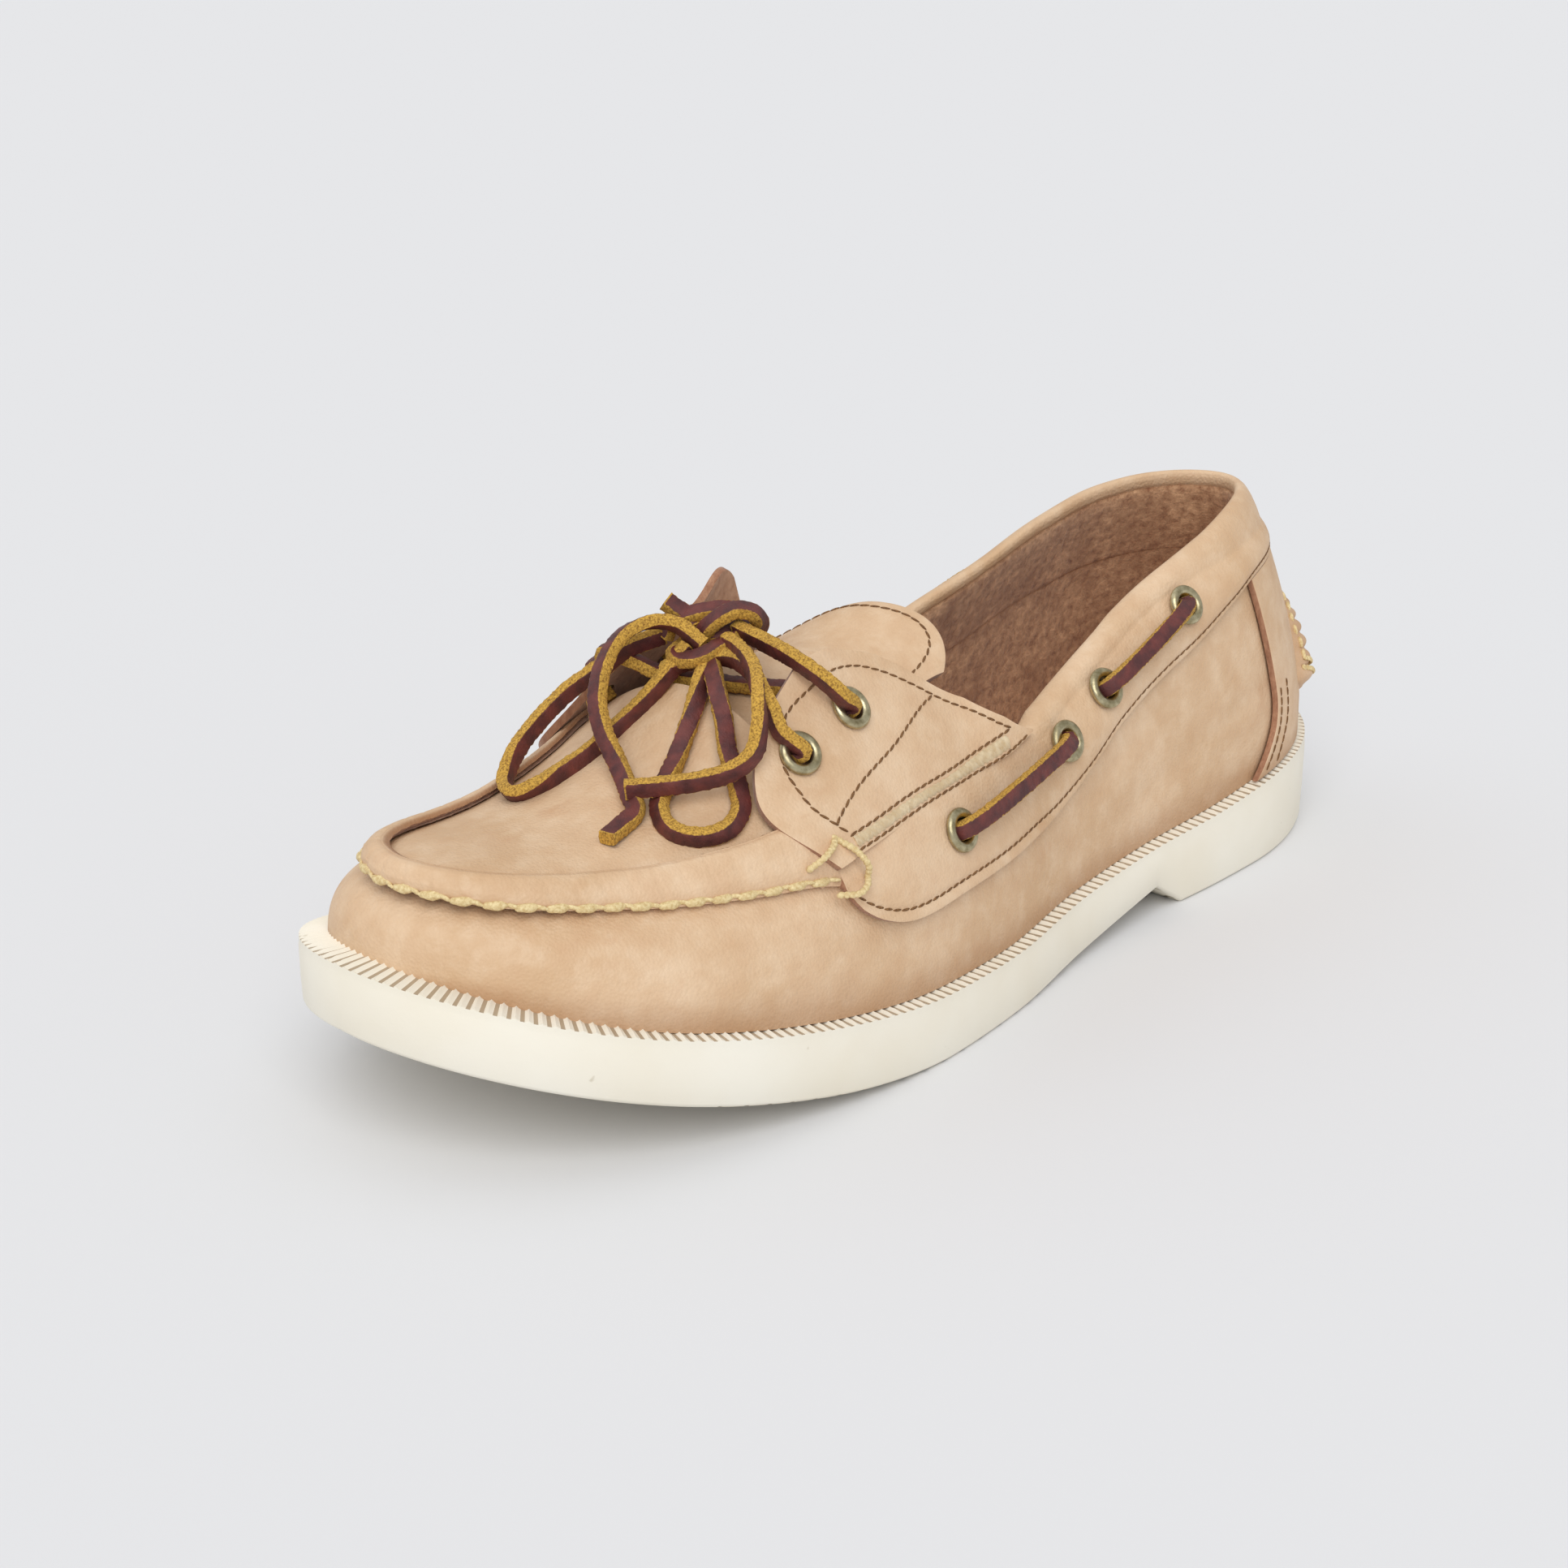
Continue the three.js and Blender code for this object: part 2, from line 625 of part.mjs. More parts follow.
// The gathered roll arches over the back of the heel, on the counter.
function heelRoll() {
  const seat = overlayGap + leatherThickness + clearance;
  const radius = ballWidth * soleSections[1].half - sideLedge;
  return sheet(16, 4, (u, v, outer) => {
    const q = 1 - 2 * u;
    const tangent = new THREE.Vector2(heelRollSpan, -2 * heelRollRise * q).normalize();
    const across = (v - 0.5) * heelRollWidth;
    const along = heelRollSpan * q - tangent.y * across;
    const height = heelRollFoot + heelRollRise * (1 - q * q) + tangent.x * across;
    const s = heelLedge + radius * (1 - Math.cos(along / radius));
    const bump = seamEdge + (heelRollHeight - seamEdge) * Math.sin(Math.PI * v) ** 0.8;
    return onUpper(shareOfUpper(s), along >= 0 ? 1 : -1, height, outer ? seat + bump : seat);
  });
}

const rollFront = 0.452;

// The soft roll over the top edge of the wall
function collarRoll() {
  return loft(range(38).map((t) => {
    const way = 1 - 2 * t;
    const side = way >= 0 ? 1 : -1;
    const at = roundHeel(way, rollFront);
    const a = shareOfUpper(soleLength * at);
    const height = atHeight(topline, side > 0 ? 'lateral' : 'medial', at);
    const seat = onUpper(a, side, height, -upperWall / 2);
    const out = onUpper(a, side, height, 1).sub(onUpper(a, side, height, 0)).setZ(0).normalize();
    const radius = collarRollRadius * (0.6 + 0.4 * Math.min((1 - Math.abs(way)) / 0.12, 1));
    return range(7).map((k) => {
      const angle = 2 * Math.PI * k * 7 / 8;
      const wide = radius * Math.cos(angle) * 1.05;
      const p = seat.clone().addScaledVector(out, wide);
      p.z += 4 * clearance + radius * 0.82 * (1 + Math.sin(angle));
      return p;
    });
  }));
}

function tongue() {
  return sheet(12, 6, (u, v, outer) => {
    const side = 1 - 2 * v;
    const end = tongueEnd - tongueSlant * side + tongueCorner * side ** 4;
    const s = tongueRoot + (end - tongueRoot) * u;
    const under = -(upperWall + 8 * clearance + (outer ? 0 : tongueThickness));
    const flare = tongueFlare * THREE.MathUtils.smoothstep(u, 0.6, 1) * (1 - 0.4 * side * side);
    const { ridge } = upperSection(shareOfUpper(s), 0);
    return overUpper(shareOfUpper(s), ridge + side * tongueHalfWidth, under + flare);
  });
}

// A brass eyelet: a rounded flange over a short barrel, its axis along +Z, its seat at z = 0
function eyeletRing() {
  const [bore, barrel, flange] = [eyeletBore / 2, eyeletBarrel / 2, eyeletWidth / 2];
  const profile = [
    [bore, -leatherThickness], [barrel, -leatherThickness], [barrel, 0], [flange, 0],
    [(bore + flange) / 2, eyeletRise],
  ];
  const points = [...profile, profile[0]].map(([x, y]) => new THREE.Vector2(x, y));
  return closed(new THREE.LatheGeometry(points, 8).rotateX(Math.PI / 2));
}

// Turns +Z onto the face of a sheet at (u, v): the sheet is given by its place function.
function seatOn(place, u, v, side) {
  const step = 0.01;
  const p = place(u, v);
  const along = place(u + step, v).sub(place(u - step, v));
  const up = place(u, v + step).sub(place(u, v - step));
  const normal = along.cross(up).normalize();
  if (normal.y * side < 0) {
    normal.negate();
  }
  const turn = new THREE.Quaternion().setFromUnitVectors(new THREE.Vector3(0, 0, 1), normal);
  return new THREE.Matrix4().compose(p, turn, new THREE.Vector3(1, 1, 1));
}

const leather = (color, roughness = 0.75) => new THREE.MeshStandardMaterial({ color, roughness, metalness: 0 });

const tan = leather(0xd9b88f);
const cream = leather(0xe7e0d0, 0.8);
const lining = leather(0x82593f, 0.95);
const rawhide = leather(0x7a4632, 0.7);

const shoe = new THREE.Group();

function piece(name, geometry, material) {
  const mesh = new THREE.Mesh(geometry, material.clone());
  mesh.name = name;
  shoe.add(mesh);
  return mesh;
}

const brass = new THREE.MeshStandardMaterial({ color: 0x8a7f66, roughness: 0.35, metalness: 1 });

const sides = [['lateral', 1], ['medial', -1]];
const outerFace = overlayGap + leatherThickness;

// An eyelet stays below the rolled edge.
function eyeletHeight(row, side) {
  return Math.min(toplineHeight * row.height, bandTop(row.at, side) - eyeletWidth / 2 - clearance);
}

// Place of a height on the band, as its u and v
function bandPlace(at, height, side) {
  const low = atHeight(collarBand, 'low', at);
  return [(1 - side * wayTo(at, bandFront)) / 2, (height - low) / (bandTop(at, side) - low)];
}

function eyeletSeats() {
  const seats = [];
  for (const [label, side] of sides) {
    for (const row of eyestayEyelets) {
      const place = (u, v) => onEyestay(side, u, v, outerFace + clearance);
      seats.push({ name: `eyelet_${label}_${row.name}`, on: label, matrix: seatOn(place, row.along, row.up, side) });
    }
    for (const row of collarEyelets) {
      const [u, v] = bandPlace(row.at, eyeletHeight(row, side), side);
      const place = (p, q) => onBand(p, q, outerFace + paddingAt(p, q) + clearance);
      seats.push({ name: `eyelet_${label}_${row.name}`, on: 'collar', matrix: seatOn(place, u, v, side) });
    }
  }
  return seats;
}

function holes(seats) {
  const radius = eyeletBarrel / 2 + clearance;
  const depth = 6 * leatherThickness;
  const bit = closed(new THREE.CylinderGeometry(radius, radius, depth, 8).rotateX(Math.PI / 2));
  return seats.map((seat) => solid(bit.clone().applyMatrix4(seat.matrix)));
}

const pierced = (geometry, drills) => fromSolid(drills.reduce((body, drill) => body.subtract(drill), solid(geometry)));

// Lace lengths on the outside of the collar, from eyelet to eyelet over their flanges
function sideLace(side, from, to) {
  const seat = eyeletRise + 4 * clearance;
  const [start, end] = [eyeletHeight(from, side), eyeletHeight(to, side)];
  return sheet(6, 1, (u, v, outer) => {
    const at = from.at + (to.at - from.at) * u;
    const height = start + (end - start) * u;
    const padding = paddingAt(...bandPlace(at, height, side));
    const offset = outerFace + padding + seat + (outer ? laceThickness : 0);
    return onUpper(shareOfUpper(soleLength * at), side, height + (v - 0.5) * laceWidth, offset);
  });
}

function cord(points) {
  const path = new THREE.CatmullRomCurve3(points.map((p) => new THREE.Vector3(...p)), false, 'centripetal');
  const steps = Math.ceil(path.getLength() / (2.8 * cordWidth));
  const outline = range(7).map((k) => {
    const angle = 2 * Math.PI * k * 7 / 8;
    return new THREE.Vector2(Math.cos(angle), Math.sin(angle)).multiplyScalar(cordWidth / 2);
  });
  const geometry = new THREE.ExtrudeGeometry(new THREE.Shape(outline), { steps, extrudePath: path });
  return closed(geometry);
}

// The two crossings over the tongue meet in the middle and are one solid.
function laceCrossings() {
  const run = (side) => solid(cord(crossingRoute.map((row) => {
    const s = soleLength * row.at;
    return [fromHeel(s), side * ballWidth * row.across, soleTopAt(s) + instepHeight * row.up];
  })));
  return fromSolid(run(1).add(run(-1)));
}

function knot() {
  const ball = new THREE.SphereGeometry(0.5, 10, 6).scale(knotSize.x, knotSize.y, knotSize.z);
  return closed(ball.translate(...knotPlace));
}

const seats = eyeletSeats();

piece('outsole', loft(soleStations.map(soleRing)), cream);
piece('upper', upper(), tan);
piece('insole', insole(), lining);
piece('tongue', tongue(), tan);
piece('apron', apron(), tan);
piece('apron_seam', apronSeam(), tan);
piece('collar_band', pierced(collarLeather(), holes(seats.filter((seat) => seat.on === 'collar'))), tan);
for (const [label, side] of sides) {
  piece(`eyestay_${label}`, pierced(eyestay(side), holes(seats.filter((seat) => seat.on === label))), tan);
}
piece('collar_roll', collarRoll(), tan);
piece('heel_counter', heelCounter(), tan);
piece('heel_roll', heelRoll(), tan);
for (const seat of seats) {
  const ring = piece(seat.name, eyeletRing(), brass);
  ring.applyMatrix4(seat.matrix);
}
for (const [label, side] of sides) {
  const [one, two, three, four] = collarEyelets;
  piece(`side_lace_${label}_front`, sideLace(side, one, two), rawhide);
  piece(`side_lace_${label}_rear`, sideLace(side, three, four), rawhide);
}
piece('lace_crossings', laceCrossings(), rawhide);
piece('lace_knot', knot(), rawhide);
for (const [name, points] of Object.entries(cordRoutes)) {
  piece(name, cord(points), rawhide);
}

export default shoe;
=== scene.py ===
# %% [markdown]
# A left boat shoe: a hand-sewn moccasin upper on a one-piece rubber sole, laced with rawhide.
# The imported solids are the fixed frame. Every leather panel is laid on the same last as they are,
# so the last is written first, as a few tables and functions, and the panels follow it.

# %% Load the frame
import math
from functools import lru_cache

import bpy
import numpy as np
from mathutils import Matrix, Vector
from mathutils.kdtree import KDTree


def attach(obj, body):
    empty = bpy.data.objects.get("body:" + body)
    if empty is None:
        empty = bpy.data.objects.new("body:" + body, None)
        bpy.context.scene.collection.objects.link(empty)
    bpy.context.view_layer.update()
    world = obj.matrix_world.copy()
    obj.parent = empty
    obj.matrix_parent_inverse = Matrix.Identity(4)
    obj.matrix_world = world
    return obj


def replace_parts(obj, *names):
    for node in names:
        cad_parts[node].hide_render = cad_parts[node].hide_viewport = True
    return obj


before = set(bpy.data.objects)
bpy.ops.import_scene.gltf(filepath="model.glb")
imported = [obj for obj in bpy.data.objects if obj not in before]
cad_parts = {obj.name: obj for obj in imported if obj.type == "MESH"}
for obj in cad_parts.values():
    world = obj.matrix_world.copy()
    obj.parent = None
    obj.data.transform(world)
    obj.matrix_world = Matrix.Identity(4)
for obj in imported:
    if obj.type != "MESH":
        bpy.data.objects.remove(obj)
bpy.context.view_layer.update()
bpy.ops.object.select_all(action="DESELECT")
MM = 0.001

# %% [markdown]
# The camera stands a little above the shoe, off its outer side and ahead of it, and a long lens
# keeps the toe from swelling. Three typed angles would turn it too, but a tracking rotation from
# its place to the shoe's middle is easier to read and to change.

# %% Camera
VIEW_TURN = math.radians(137.12)
VIEW_RISE = math.radians(19.89)
VIEW_DISTANCE = 0.6
VIEW_TARGET = Vector((0.03055, -0.03782, 0.04031))
SHOE_MIDDLE = Vector((0.0138, -0.02, 0.0357))
to_camera = Vector((
    math.sin(VIEW_TURN) * math.cos(VIEW_RISE),
    -math.cos(VIEW_TURN) * math.cos(VIEW_RISE),
    math.sin(VIEW_RISE),
))
bpy.ops.object.camera_add(location=VIEW_TARGET + to_camera * VIEW_DISTANCE)
camera = bpy.context.object
camera.rotation_euler = (SHOE_MIDDLE - camera.location).to_track_quat("-Z", "Y").to_euler()
camera.data.sensor_width = 36
camera.data.lens = 61
camera.data.clip_start = 0.01
bpy.context.scene.camera = camera

# %% [markdown]
# Each finish is a set of shader nodes that reads Object coordinates, so it has its real scale
# in metres wherever the leather runs. These small helpers keep the node trees short to write.


# %% Helpers for finishes
def tone(red, green, blue):
    """A colour as the eye reads it, 0 to 255, turned into linear light."""
    linear = []
    for value in (red, green, blue):
        share = value / 255
        linear.append(share / 12.92 if value < 11 else ((share + 0.055) / 1.055) ** 2.4)
    return (*linear, 1)


class Finish:
    """One material and the short calls that build its nodes."""

    def __init__(self, name, roughness=0.6, metallic=0.0):
        self.material = bpy.data.materials.new(name)
        self.material.use_nodes = True
        self.nodes = self.material.node_tree.nodes
        self.links = self.material.node_tree.links
        self.shader = self.nodes["Principled BSDF"]
        self.shader.inputs["Roughness"].default_value = roughness
        self.shader.inputs["Metallic"].default_value = metallic
        self.place = self.add("ShaderNodeTexCoord").outputs["Object"]

    def add(self, kind, inputs=(), **settings):
        node = self.nodes.new(kind)
        for key, value in settings.items():
            setattr(node, key, value)
        for key, value in dict(inputs).items():
            if isinstance(value, bpy.types.NodeSocket):
                self.links.new(value, node.inputs[key])
            else:
                node.inputs[key].default_value = value
        return node

    def noise(self, scale, detail=3.0, roughness=0.5, stretch=None):
        place = self.place
        if stretch:
            place = self.add("ShaderNodeMapping", {"Vector": place, "Scale": stretch}).outputs[0]
        inputs = {"Vector": place, "Scale": scale, "Detail": detail, "Roughness": roughness}
        return self.add("ShaderNodeTexNoise", inputs).outputs["Fac"]

    def cells(self, scale):
        inputs = {"Vector": self.place, "Scale": scale}
        return self.add("ShaderNodeTexVoronoi", inputs, feature="F1").outputs[0]

    def ramp(self, value, low, high, start=0.0, end=1.0):
        inputs = {"Value": value, "From Min": low, "From Max": high, "To Min": start, "To Max": end}
        return self.add("ShaderNodeMapRange", inputs).outputs["Result"]

    def math(self, operation, first, second):
        node = self.nodes.new("ShaderNodeMath")
        node.operation = operation
        for socket, value in zip(node.inputs, (first, second)):
            if isinstance(value, bpy.types.NodeSocket):
                self.links.new(value, socket)
            else:
                socket.default_value = value
        return node.outputs[0]

    def mix(self, factor, first, second):
        node = self.nodes.new("ShaderNodeMix")
        node.data_type = "RGBA"
        for key, value in ((0, factor), (6, first), (7, second)):
            if isinstance(value, bpy.types.NodeSocket):
                self.links.new(value, node.inputs[key])
            else:
                node.inputs[key].default_value = value
        return node.outputs[2]

    def attribute(self, name):
        return self.add("ShaderNodeAttribute", attribute_name=name).outputs["Fac"]

    def color(self, socket):
        self.links.new(socket, self.shader.inputs["Base Color"])

    def rough(self, socket):
        self.links.new(socket, self.shader.inputs["Roughness"])

    def bump(self, height, depth):
        """Adds relief, depth in metres, over any relief that is there already."""
        inputs = {"Height": height, "Distance": depth, "Strength": 1.0}
        before = self.shader.inputs["Normal"].links
        if before:
            inputs["Normal"] = before[0].from_socket
        node = self.add("ShaderNodeBump", inputs)
        self.links.new(node.outputs[0], self.shader.inputs["Normal"])


# %% [markdown]
# The upper's leather is undyed, oiled and matt: a warm tan whose tone wanders a little from
# place to place, with pores under a millimetre wide and a few fine hair lines. Its back and its
# cut edges are rougher and pinker. An attribute called shade, set by the panels, paints shade
# into the tan: it deepens it near the sole, along the folds and in the grooves of the toe seam.


# %% Leathers
def tan_leather(name, light, dark, pore=0.00010):
    finish = Finish(name, 0.6)
    clouds = finish.noise(38, 4, 0.55)
    fleck = finish.noise(420, 5, 0.6)
    base = finish.mix(finish.ramp(clouds, 0.35, 0.68), light, dark)
    base = finish.mix(finish.ramp(fleck, 0.45, 0.9, 0, 0.35), base, dark)
    mottle = finish.noise(150, 6, 0.65)
    base = finish.mix(finish.ramp(mottle, 0.5, 0.75, 0, 0.3), base, tone(198, 152, 112))
    base = finish.mix(finish.ramp(mottle, 0.5, 0.3, 0, 0.3), base, tone(238, 214, 184))
    marks = finish.ramp(finish.noise(60, 5, 0.6, (1, 3, 1)), 0.62, 0.8, 0, 0.35)
    base = finish.mix(marks, base, tone(190, 134, 92))
    # Painted shade: the shade attribute darkens the tan towards a deep brown.
    shade = finish.ramp(finish.attribute("shade"), 0, 1, 0, 0.75)
    base = finish.mix(shade, base, tone(150, 98, 58))
    finish.color(base)
    finish.rough(finish.ramp(fleck, 0.3, 0.7, 0.5, 0.68))
    finish.bump(finish.cells(1500), pore)
    finish.bump(finish.noise(700, 6, 0.6), 0.00012)
    finish.bump(clouds, 0.0004)
    return finish.material


TAN_LIGHT = tone(224, 192, 157)
TAN_DARK = tone(209, 173, 134)
tan = tan_leather("tan_leather", TAN_LIGHT, TAN_DARK)


def rough_leather(name, light, dark, nap, scale=900, stretch=(1, 1, 0.45)):
    finish = Finish(name, 0.92)
    fibres = finish.noise(scale, 6, 0.7, stretch)
    clouds = finish.noise(70, 4, 0.6)
    base = finish.mix(finish.ramp(fibres, 0.3, 0.7), dark, light)
    base = finish.mix(finish.ramp(clouds, 0.35, 0.7, 0, 0.6), base, dark)
    finish.color(base)
    finish.shader.inputs["Sheen Weight"].default_value = 0.25
    finish.shader.inputs["Sheen Roughness"].default_value = 0.5
    finish.bump(fibres, nap)
    return finish.material


cut_edge = rough_leather("cut_edge", tone(196, 150, 118), tone(140, 92, 66), 0.0002)
flesh_side = rough_leather("flesh_side", tone(206, 170, 142), tone(160, 118, 92), 0.0003, 600)
suede = rough_leather("lining_suede", tone(250, 204, 158), tone(150, 100, 68), 0.0006, 420, (1, 1, 1))
piping_leather = rough_leather("piping_leather", tone(232, 214, 180), tone(196, 168, 126), 0.00025, 700)

# %% [markdown]
# The sole is cream rubber with a dry skin, a cream that wanders a little towards yellow and a few
# specks. The tread's fine wavy cuts are dark lines of painted shade, on the underside only.


# %% Rubber, brass, thread and rawhide
def cream_rubber(name, light, dark):
    finish = Finish(name, 0.55)
    clouds = finish.noise(30, 3, 0.5)
    base = finish.mix(finish.ramp(clouds, 0.3, 0.7), light, dark)
    specks = finish.ramp(finish.noise(260, 2, 0.5), 0.74, 0.8, 0, 0.5)
    finish.color(finish.mix(specks, base, tone(176, 160, 128)))
    finish.bump(finish.noise(1200, 3, 0.5), 0.00003)
    return finish.material


def tread_rubber():
    finish = Finish("tread_rubber", 0.6)
    inputs = {"Vector": finish.place, "Scale": 50, "Distortion": 0}
    wave = finish.add("ShaderNodeTexWave", inputs, bands_direction="X")
    sway = finish.add("ShaderNodeSeparateXYZ", {"Vector": finish.place})
    swing = finish.math("SINE", finish.math("MULTIPLY", sway.outputs["Y"], 700), 0)
    shift = finish.math("ADD", finish.math("MULTIPLY", swing, 0.0016), sway.outputs["X"])
    moved = finish.add("ShaderNodeCombineXYZ", {"X": shift, "Y": 0.0, "Z": 0.0})
    finish.links.new(moved.outputs[0], wave.inputs["Vector"])
    cuts = finish.ramp(wave.outputs["Fac"], 0.0, 0.12)
    # Painted shade: the wavy cuts are coloured a dark brownish cream.
    finish.color(finish.mix(cuts, tone(150, 138, 112), tone(231, 223, 204)))
    finish.bump(cuts, 0.0005)
    return finish.material


def thread(name, light, dark, scale=2600):
    finish = Finish(name, 0.7)
    strands = finish.noise(scale, 3, 0.6)
    finish.color(finish.mix(finish.ramp(strands, 0.35, 0.65), dark, light))
    finish.bump(strands, 0.00004)
    return finish.material


def antique_brass():
    finish = Finish("antique_brass", 0.34, 1.0)
    patina = finish.noise(500, 4, 0.6)
    finish.color(finish.mix(finish.ramp(patina, 0.35, 0.7), tone(196, 186, 152), tone(138, 126, 92)))
    finish.rough(finish.ramp(patina, 0.3, 0.7, 0.26, 0.46))
    finish.bump(finish.noise(1600, 2, 0.5), 0.00002)
    return finish.material


def rawhide():
    """Maroon grain on two faces and mustard cut sides, with a ragged line between them."""
    finish = Finish("rawhide_lace", 0.55)
    fibres = finish.noise(1500, 5, 0.7)
    ragged = finish.math("ADD", finish.attribute("cut"), finish.ramp(fibres, 0.3, 0.7, -0.16, 0.16))
    side = finish.ramp(ragged, 0.44, 0.56)
    wax = finish.ramp(finish.noise(300, 3, 0.5), 0.35, 0.65)
    grain = finish.mix(wax, tone(112, 52, 46), tone(78, 36, 36))
    fleck = finish.noise(2200, 3, 0.7)
    mustard = finish.mix(finish.ramp(fleck, 0.4, 0.68), tone(216, 170, 72), tone(122, 82, 30))
    finish.color(finish.mix(side, grain, mustard))
    finish.rough(finish.ramp(side, 0, 1, 0.5, 0.9))
    finish.bump(fibres, 0.00022)
    return finish.material


sole_cream = cream_rubber("cream_rubber", tone(243, 238, 224), tone(236, 228, 209))
# Painted shade: a darker rubber for the ledge's grooves.
groove_shade_rubber = cream_rubber("rubber_painted_groove_shade", tone(190, 172, 146), tone(168, 148, 122))
sole_tread = tread_rubber()
seam_thread = thread("waxed_thread", tone(234, 214, 164), tone(204, 176, 122), 1500)
brown_thread = thread("brown_thread", tone(140, 100, 56), tone(92, 60, 30))
brass = antique_brass()
lace_hide = rawhide()

# %% [markdown]
# The last is the wooden form that a shoe is made on. Its sections are given at places along the
# sole, as shares of a few driving sizes in millimetres, the same ones as the solids have. x runs
# forward from the middle of the sole, y to the outer side, and z up.

# %% Sizes of the shoe
SOLE_LENGTH = 300
BALL_WIDTH = 106
HEEL_HEIGHT = 23
TOE_SPRING = 25.7
ARCH_RISE = 7
HEEL_BEVEL = 2
HEEL_LEDGE = 6.4
TOE_LEDGE = 4.5
SIDE_LEDGE = 3.4
INSTEP_HEIGHT = 66
HEEL_LEAN = 23.5
TOPLINE_HEIGHT = 64
UPPER_WALL = 2.0
LEATHER = 1.6
CLEARANCE = 0.35
OVERLAY_GAP = 0.6
COLLAR_PADDING = 2.1
OUTER_FACE = OVERLAY_GAP + LEATHER
BREAST_BACK = 0.287
BREAST_FRONT = 0.323
ARCH_FRONT = 0.56
TREAD_FRONT = 0.62
TOE_CURL_POWER = 1.7
HEEL_ROUND = 0.183
TOE_ROUND = 0.233
TOE_BOX = 0.1
HEEL_FADE = 0.33
LEAN_START = 10
HEEL_TURN = 26


def table(columns, rows):
    """A table with named columns, one row a line."""
    names = columns.split()
    return [dict(zip(names, map(float, line.split()))) for line in rows.strip().splitlines()]


SOLE = table("at middle half thick", """
    0.0    -0.031  0.302  1.0
    0.06   -0.028  0.32   0.98
    0.133  -0.019  0.33   0.943
    0.233  -0.004  0.339  0.83
    0.333   0.011  0.336  0.75
    0.433   0.028  0.356  0.68
    0.533   0.033  0.418  0.62
    0.633   0.0175 0.478  0.655
    0.717   0.0    0.499  0.665
    0.8    -0.012  0.484  0.638
    0.873  -0.021  0.478  0.615
    0.933  -0.028  0.476  0.612
    1.0    -0.036  0.476  0.62
""")
LAST = table("at crown power ridge", """
    0.0    1.25   2.0    0.0
    0.167  1.22   2.0    0.0
    0.31   1.11   2.0   -0.015
    0.433  1.0    2.0   -0.035
    0.533  0.97   1.95  -0.04
    0.6    0.99   1.85  -0.03
    0.65   0.97   1.8   -0.02
    0.7    0.84   1.8   -0.005
    0.75   0.64   2.05   0.01
    0.817  0.48   2.2    0.015
    0.873  0.395  2.3    0.012
    0.92   0.355  2.35   0.005
    1.0    0.345  2.35   0.0
""")
TOPLINE = table("at lateral medial", """
    0.0    0.885  0.885
    0.1    0.905  0.905
    0.167  0.905  0.9
    0.25   0.89   0.855
    0.32   0.83   0.78
    0.367  0.765  0.735
    0.417  0.695  0.695
    0.455  0.645  0.645
    0.48   0.64   0.64
    0.5    0.69   0.69
    0.52   0.8    0.8
""")
THROAT = table("at half", """
    0.4    0.197
    0.467  0.306
    0.51   0.297
    0.56   0.24
    0.6    0.203
    0.633  0.187
    0.68   0.174
    0.7    0.149
    0.713  0.073
""")
print("the last has", len(LAST), "sections over", len(SOLE), "of the sole")


# %% The last, as functions
def clamp(value, low=0.0, high=1.0):
    return max(low, min(high, value))


def smooth(value, low, high):
    t = clamp((value - low) / (high - low))
    return t * t * (3 - 2 * t)


def column(rows, name, at):
    """A smooth curve through one column of a table."""
    i = 0
    while i < len(rows) - 2 and rows[i + 1]["at"] < at:
        i += 1

    def slope(k):
        lo, hi = rows[max(k - 1, 0)], rows[min(k + 1, len(rows) - 1)]
        return (hi[name] - lo[name]) / (hi["at"] - lo["at"])

    a, b = rows[i], rows[i + 1]
    width = b["at"] - a["at"]
    t = clamp((at - a["at"]) / width)
    blend = t * t * (3 - 2 * t)
    ends = a[name] * (1 - blend) + b[name] * blend
    return ends + width * (slope(i) * t * (1 - t) ** 2 - slope(i + 1) * t * t * (1 - t))


def round_end(distance, radius, power=2.0):
    t = clamp((radius - distance) / radius)
    return (1 - t ** power) ** (1 / power)


def from_heel(s):
    return s - SOLE_LENGTH / 2


def toe_curl(at):
    return TOE_SPRING * (max(at - TREAD_FRONT, 0) / (1 - TREAD_FRONT)) ** TOE_CURL_POWER


def underside(at):
    if at < 0.05:
        return HEEL_BEVEL * (1 - at / 0.05) ** 2
    if at < BREAST_BACK:
        return 0.0
    if at < BREAST_FRONT:
        return ARCH_RISE * (at - BREAST_BACK) / (BREAST_FRONT - BREAST_BACK)
    if at < ARCH_FRONT:
        return ARCH_RISE * ((ARCH_FRONT - at) / (ARCH_FRONT - BREAST_FRONT)) ** 2
    return toe_curl(at)


def sole_top(at):
    return toe_curl(at) + HEEL_HEIGHT * column(SOLE, "thick", at)


@lru_cache(None)
def section(a, offset):
    """The last's section at the share a of its length, offset outside the leather's skin."""
    heel_tip = HEEL_LEDGE - offset
    toe = SOLE_LENGTH - TOE_LEDGE
    s = heel_tip + a * (toe + offset - heel_tip)
    at = clamp(s / SOLE_LENGTH)
    rounding = round_end(s - heel_tip, HEEL_ROUND * SOLE_LENGTH - HEEL_LEDGE + offset)
    rounding *= round_end(toe + offset - s, TOE_ROUND * SOLE_LENGTH - TOE_LEDGE + offset)
    half = BALL_WIDTH * column(SOLE, "half", at) - SIDE_LEDGE + offset
    shift = BALL_WIDTH * column(LAST, "ridge", at)
    box = round_end(toe + offset - s, TOE_BOX * SOLE_LENGTH + offset, 2.2)
    return {
        "s": s,
        "base": sole_top(clamp(s, 0, toe) / SOLE_LENGTH) + CLEARANCE,
        "ridge": BALL_WIDTH * column(SOLE, "middle", at) + shift * rounding,
        1: (half - shift) * rounding,
        -1: (half + shift) * rounding,
        "crown": (INSTEP_HEIGHT * column(LAST, "crown", at) + offset) * box,
        "power": column(LAST, "power", at),
    }


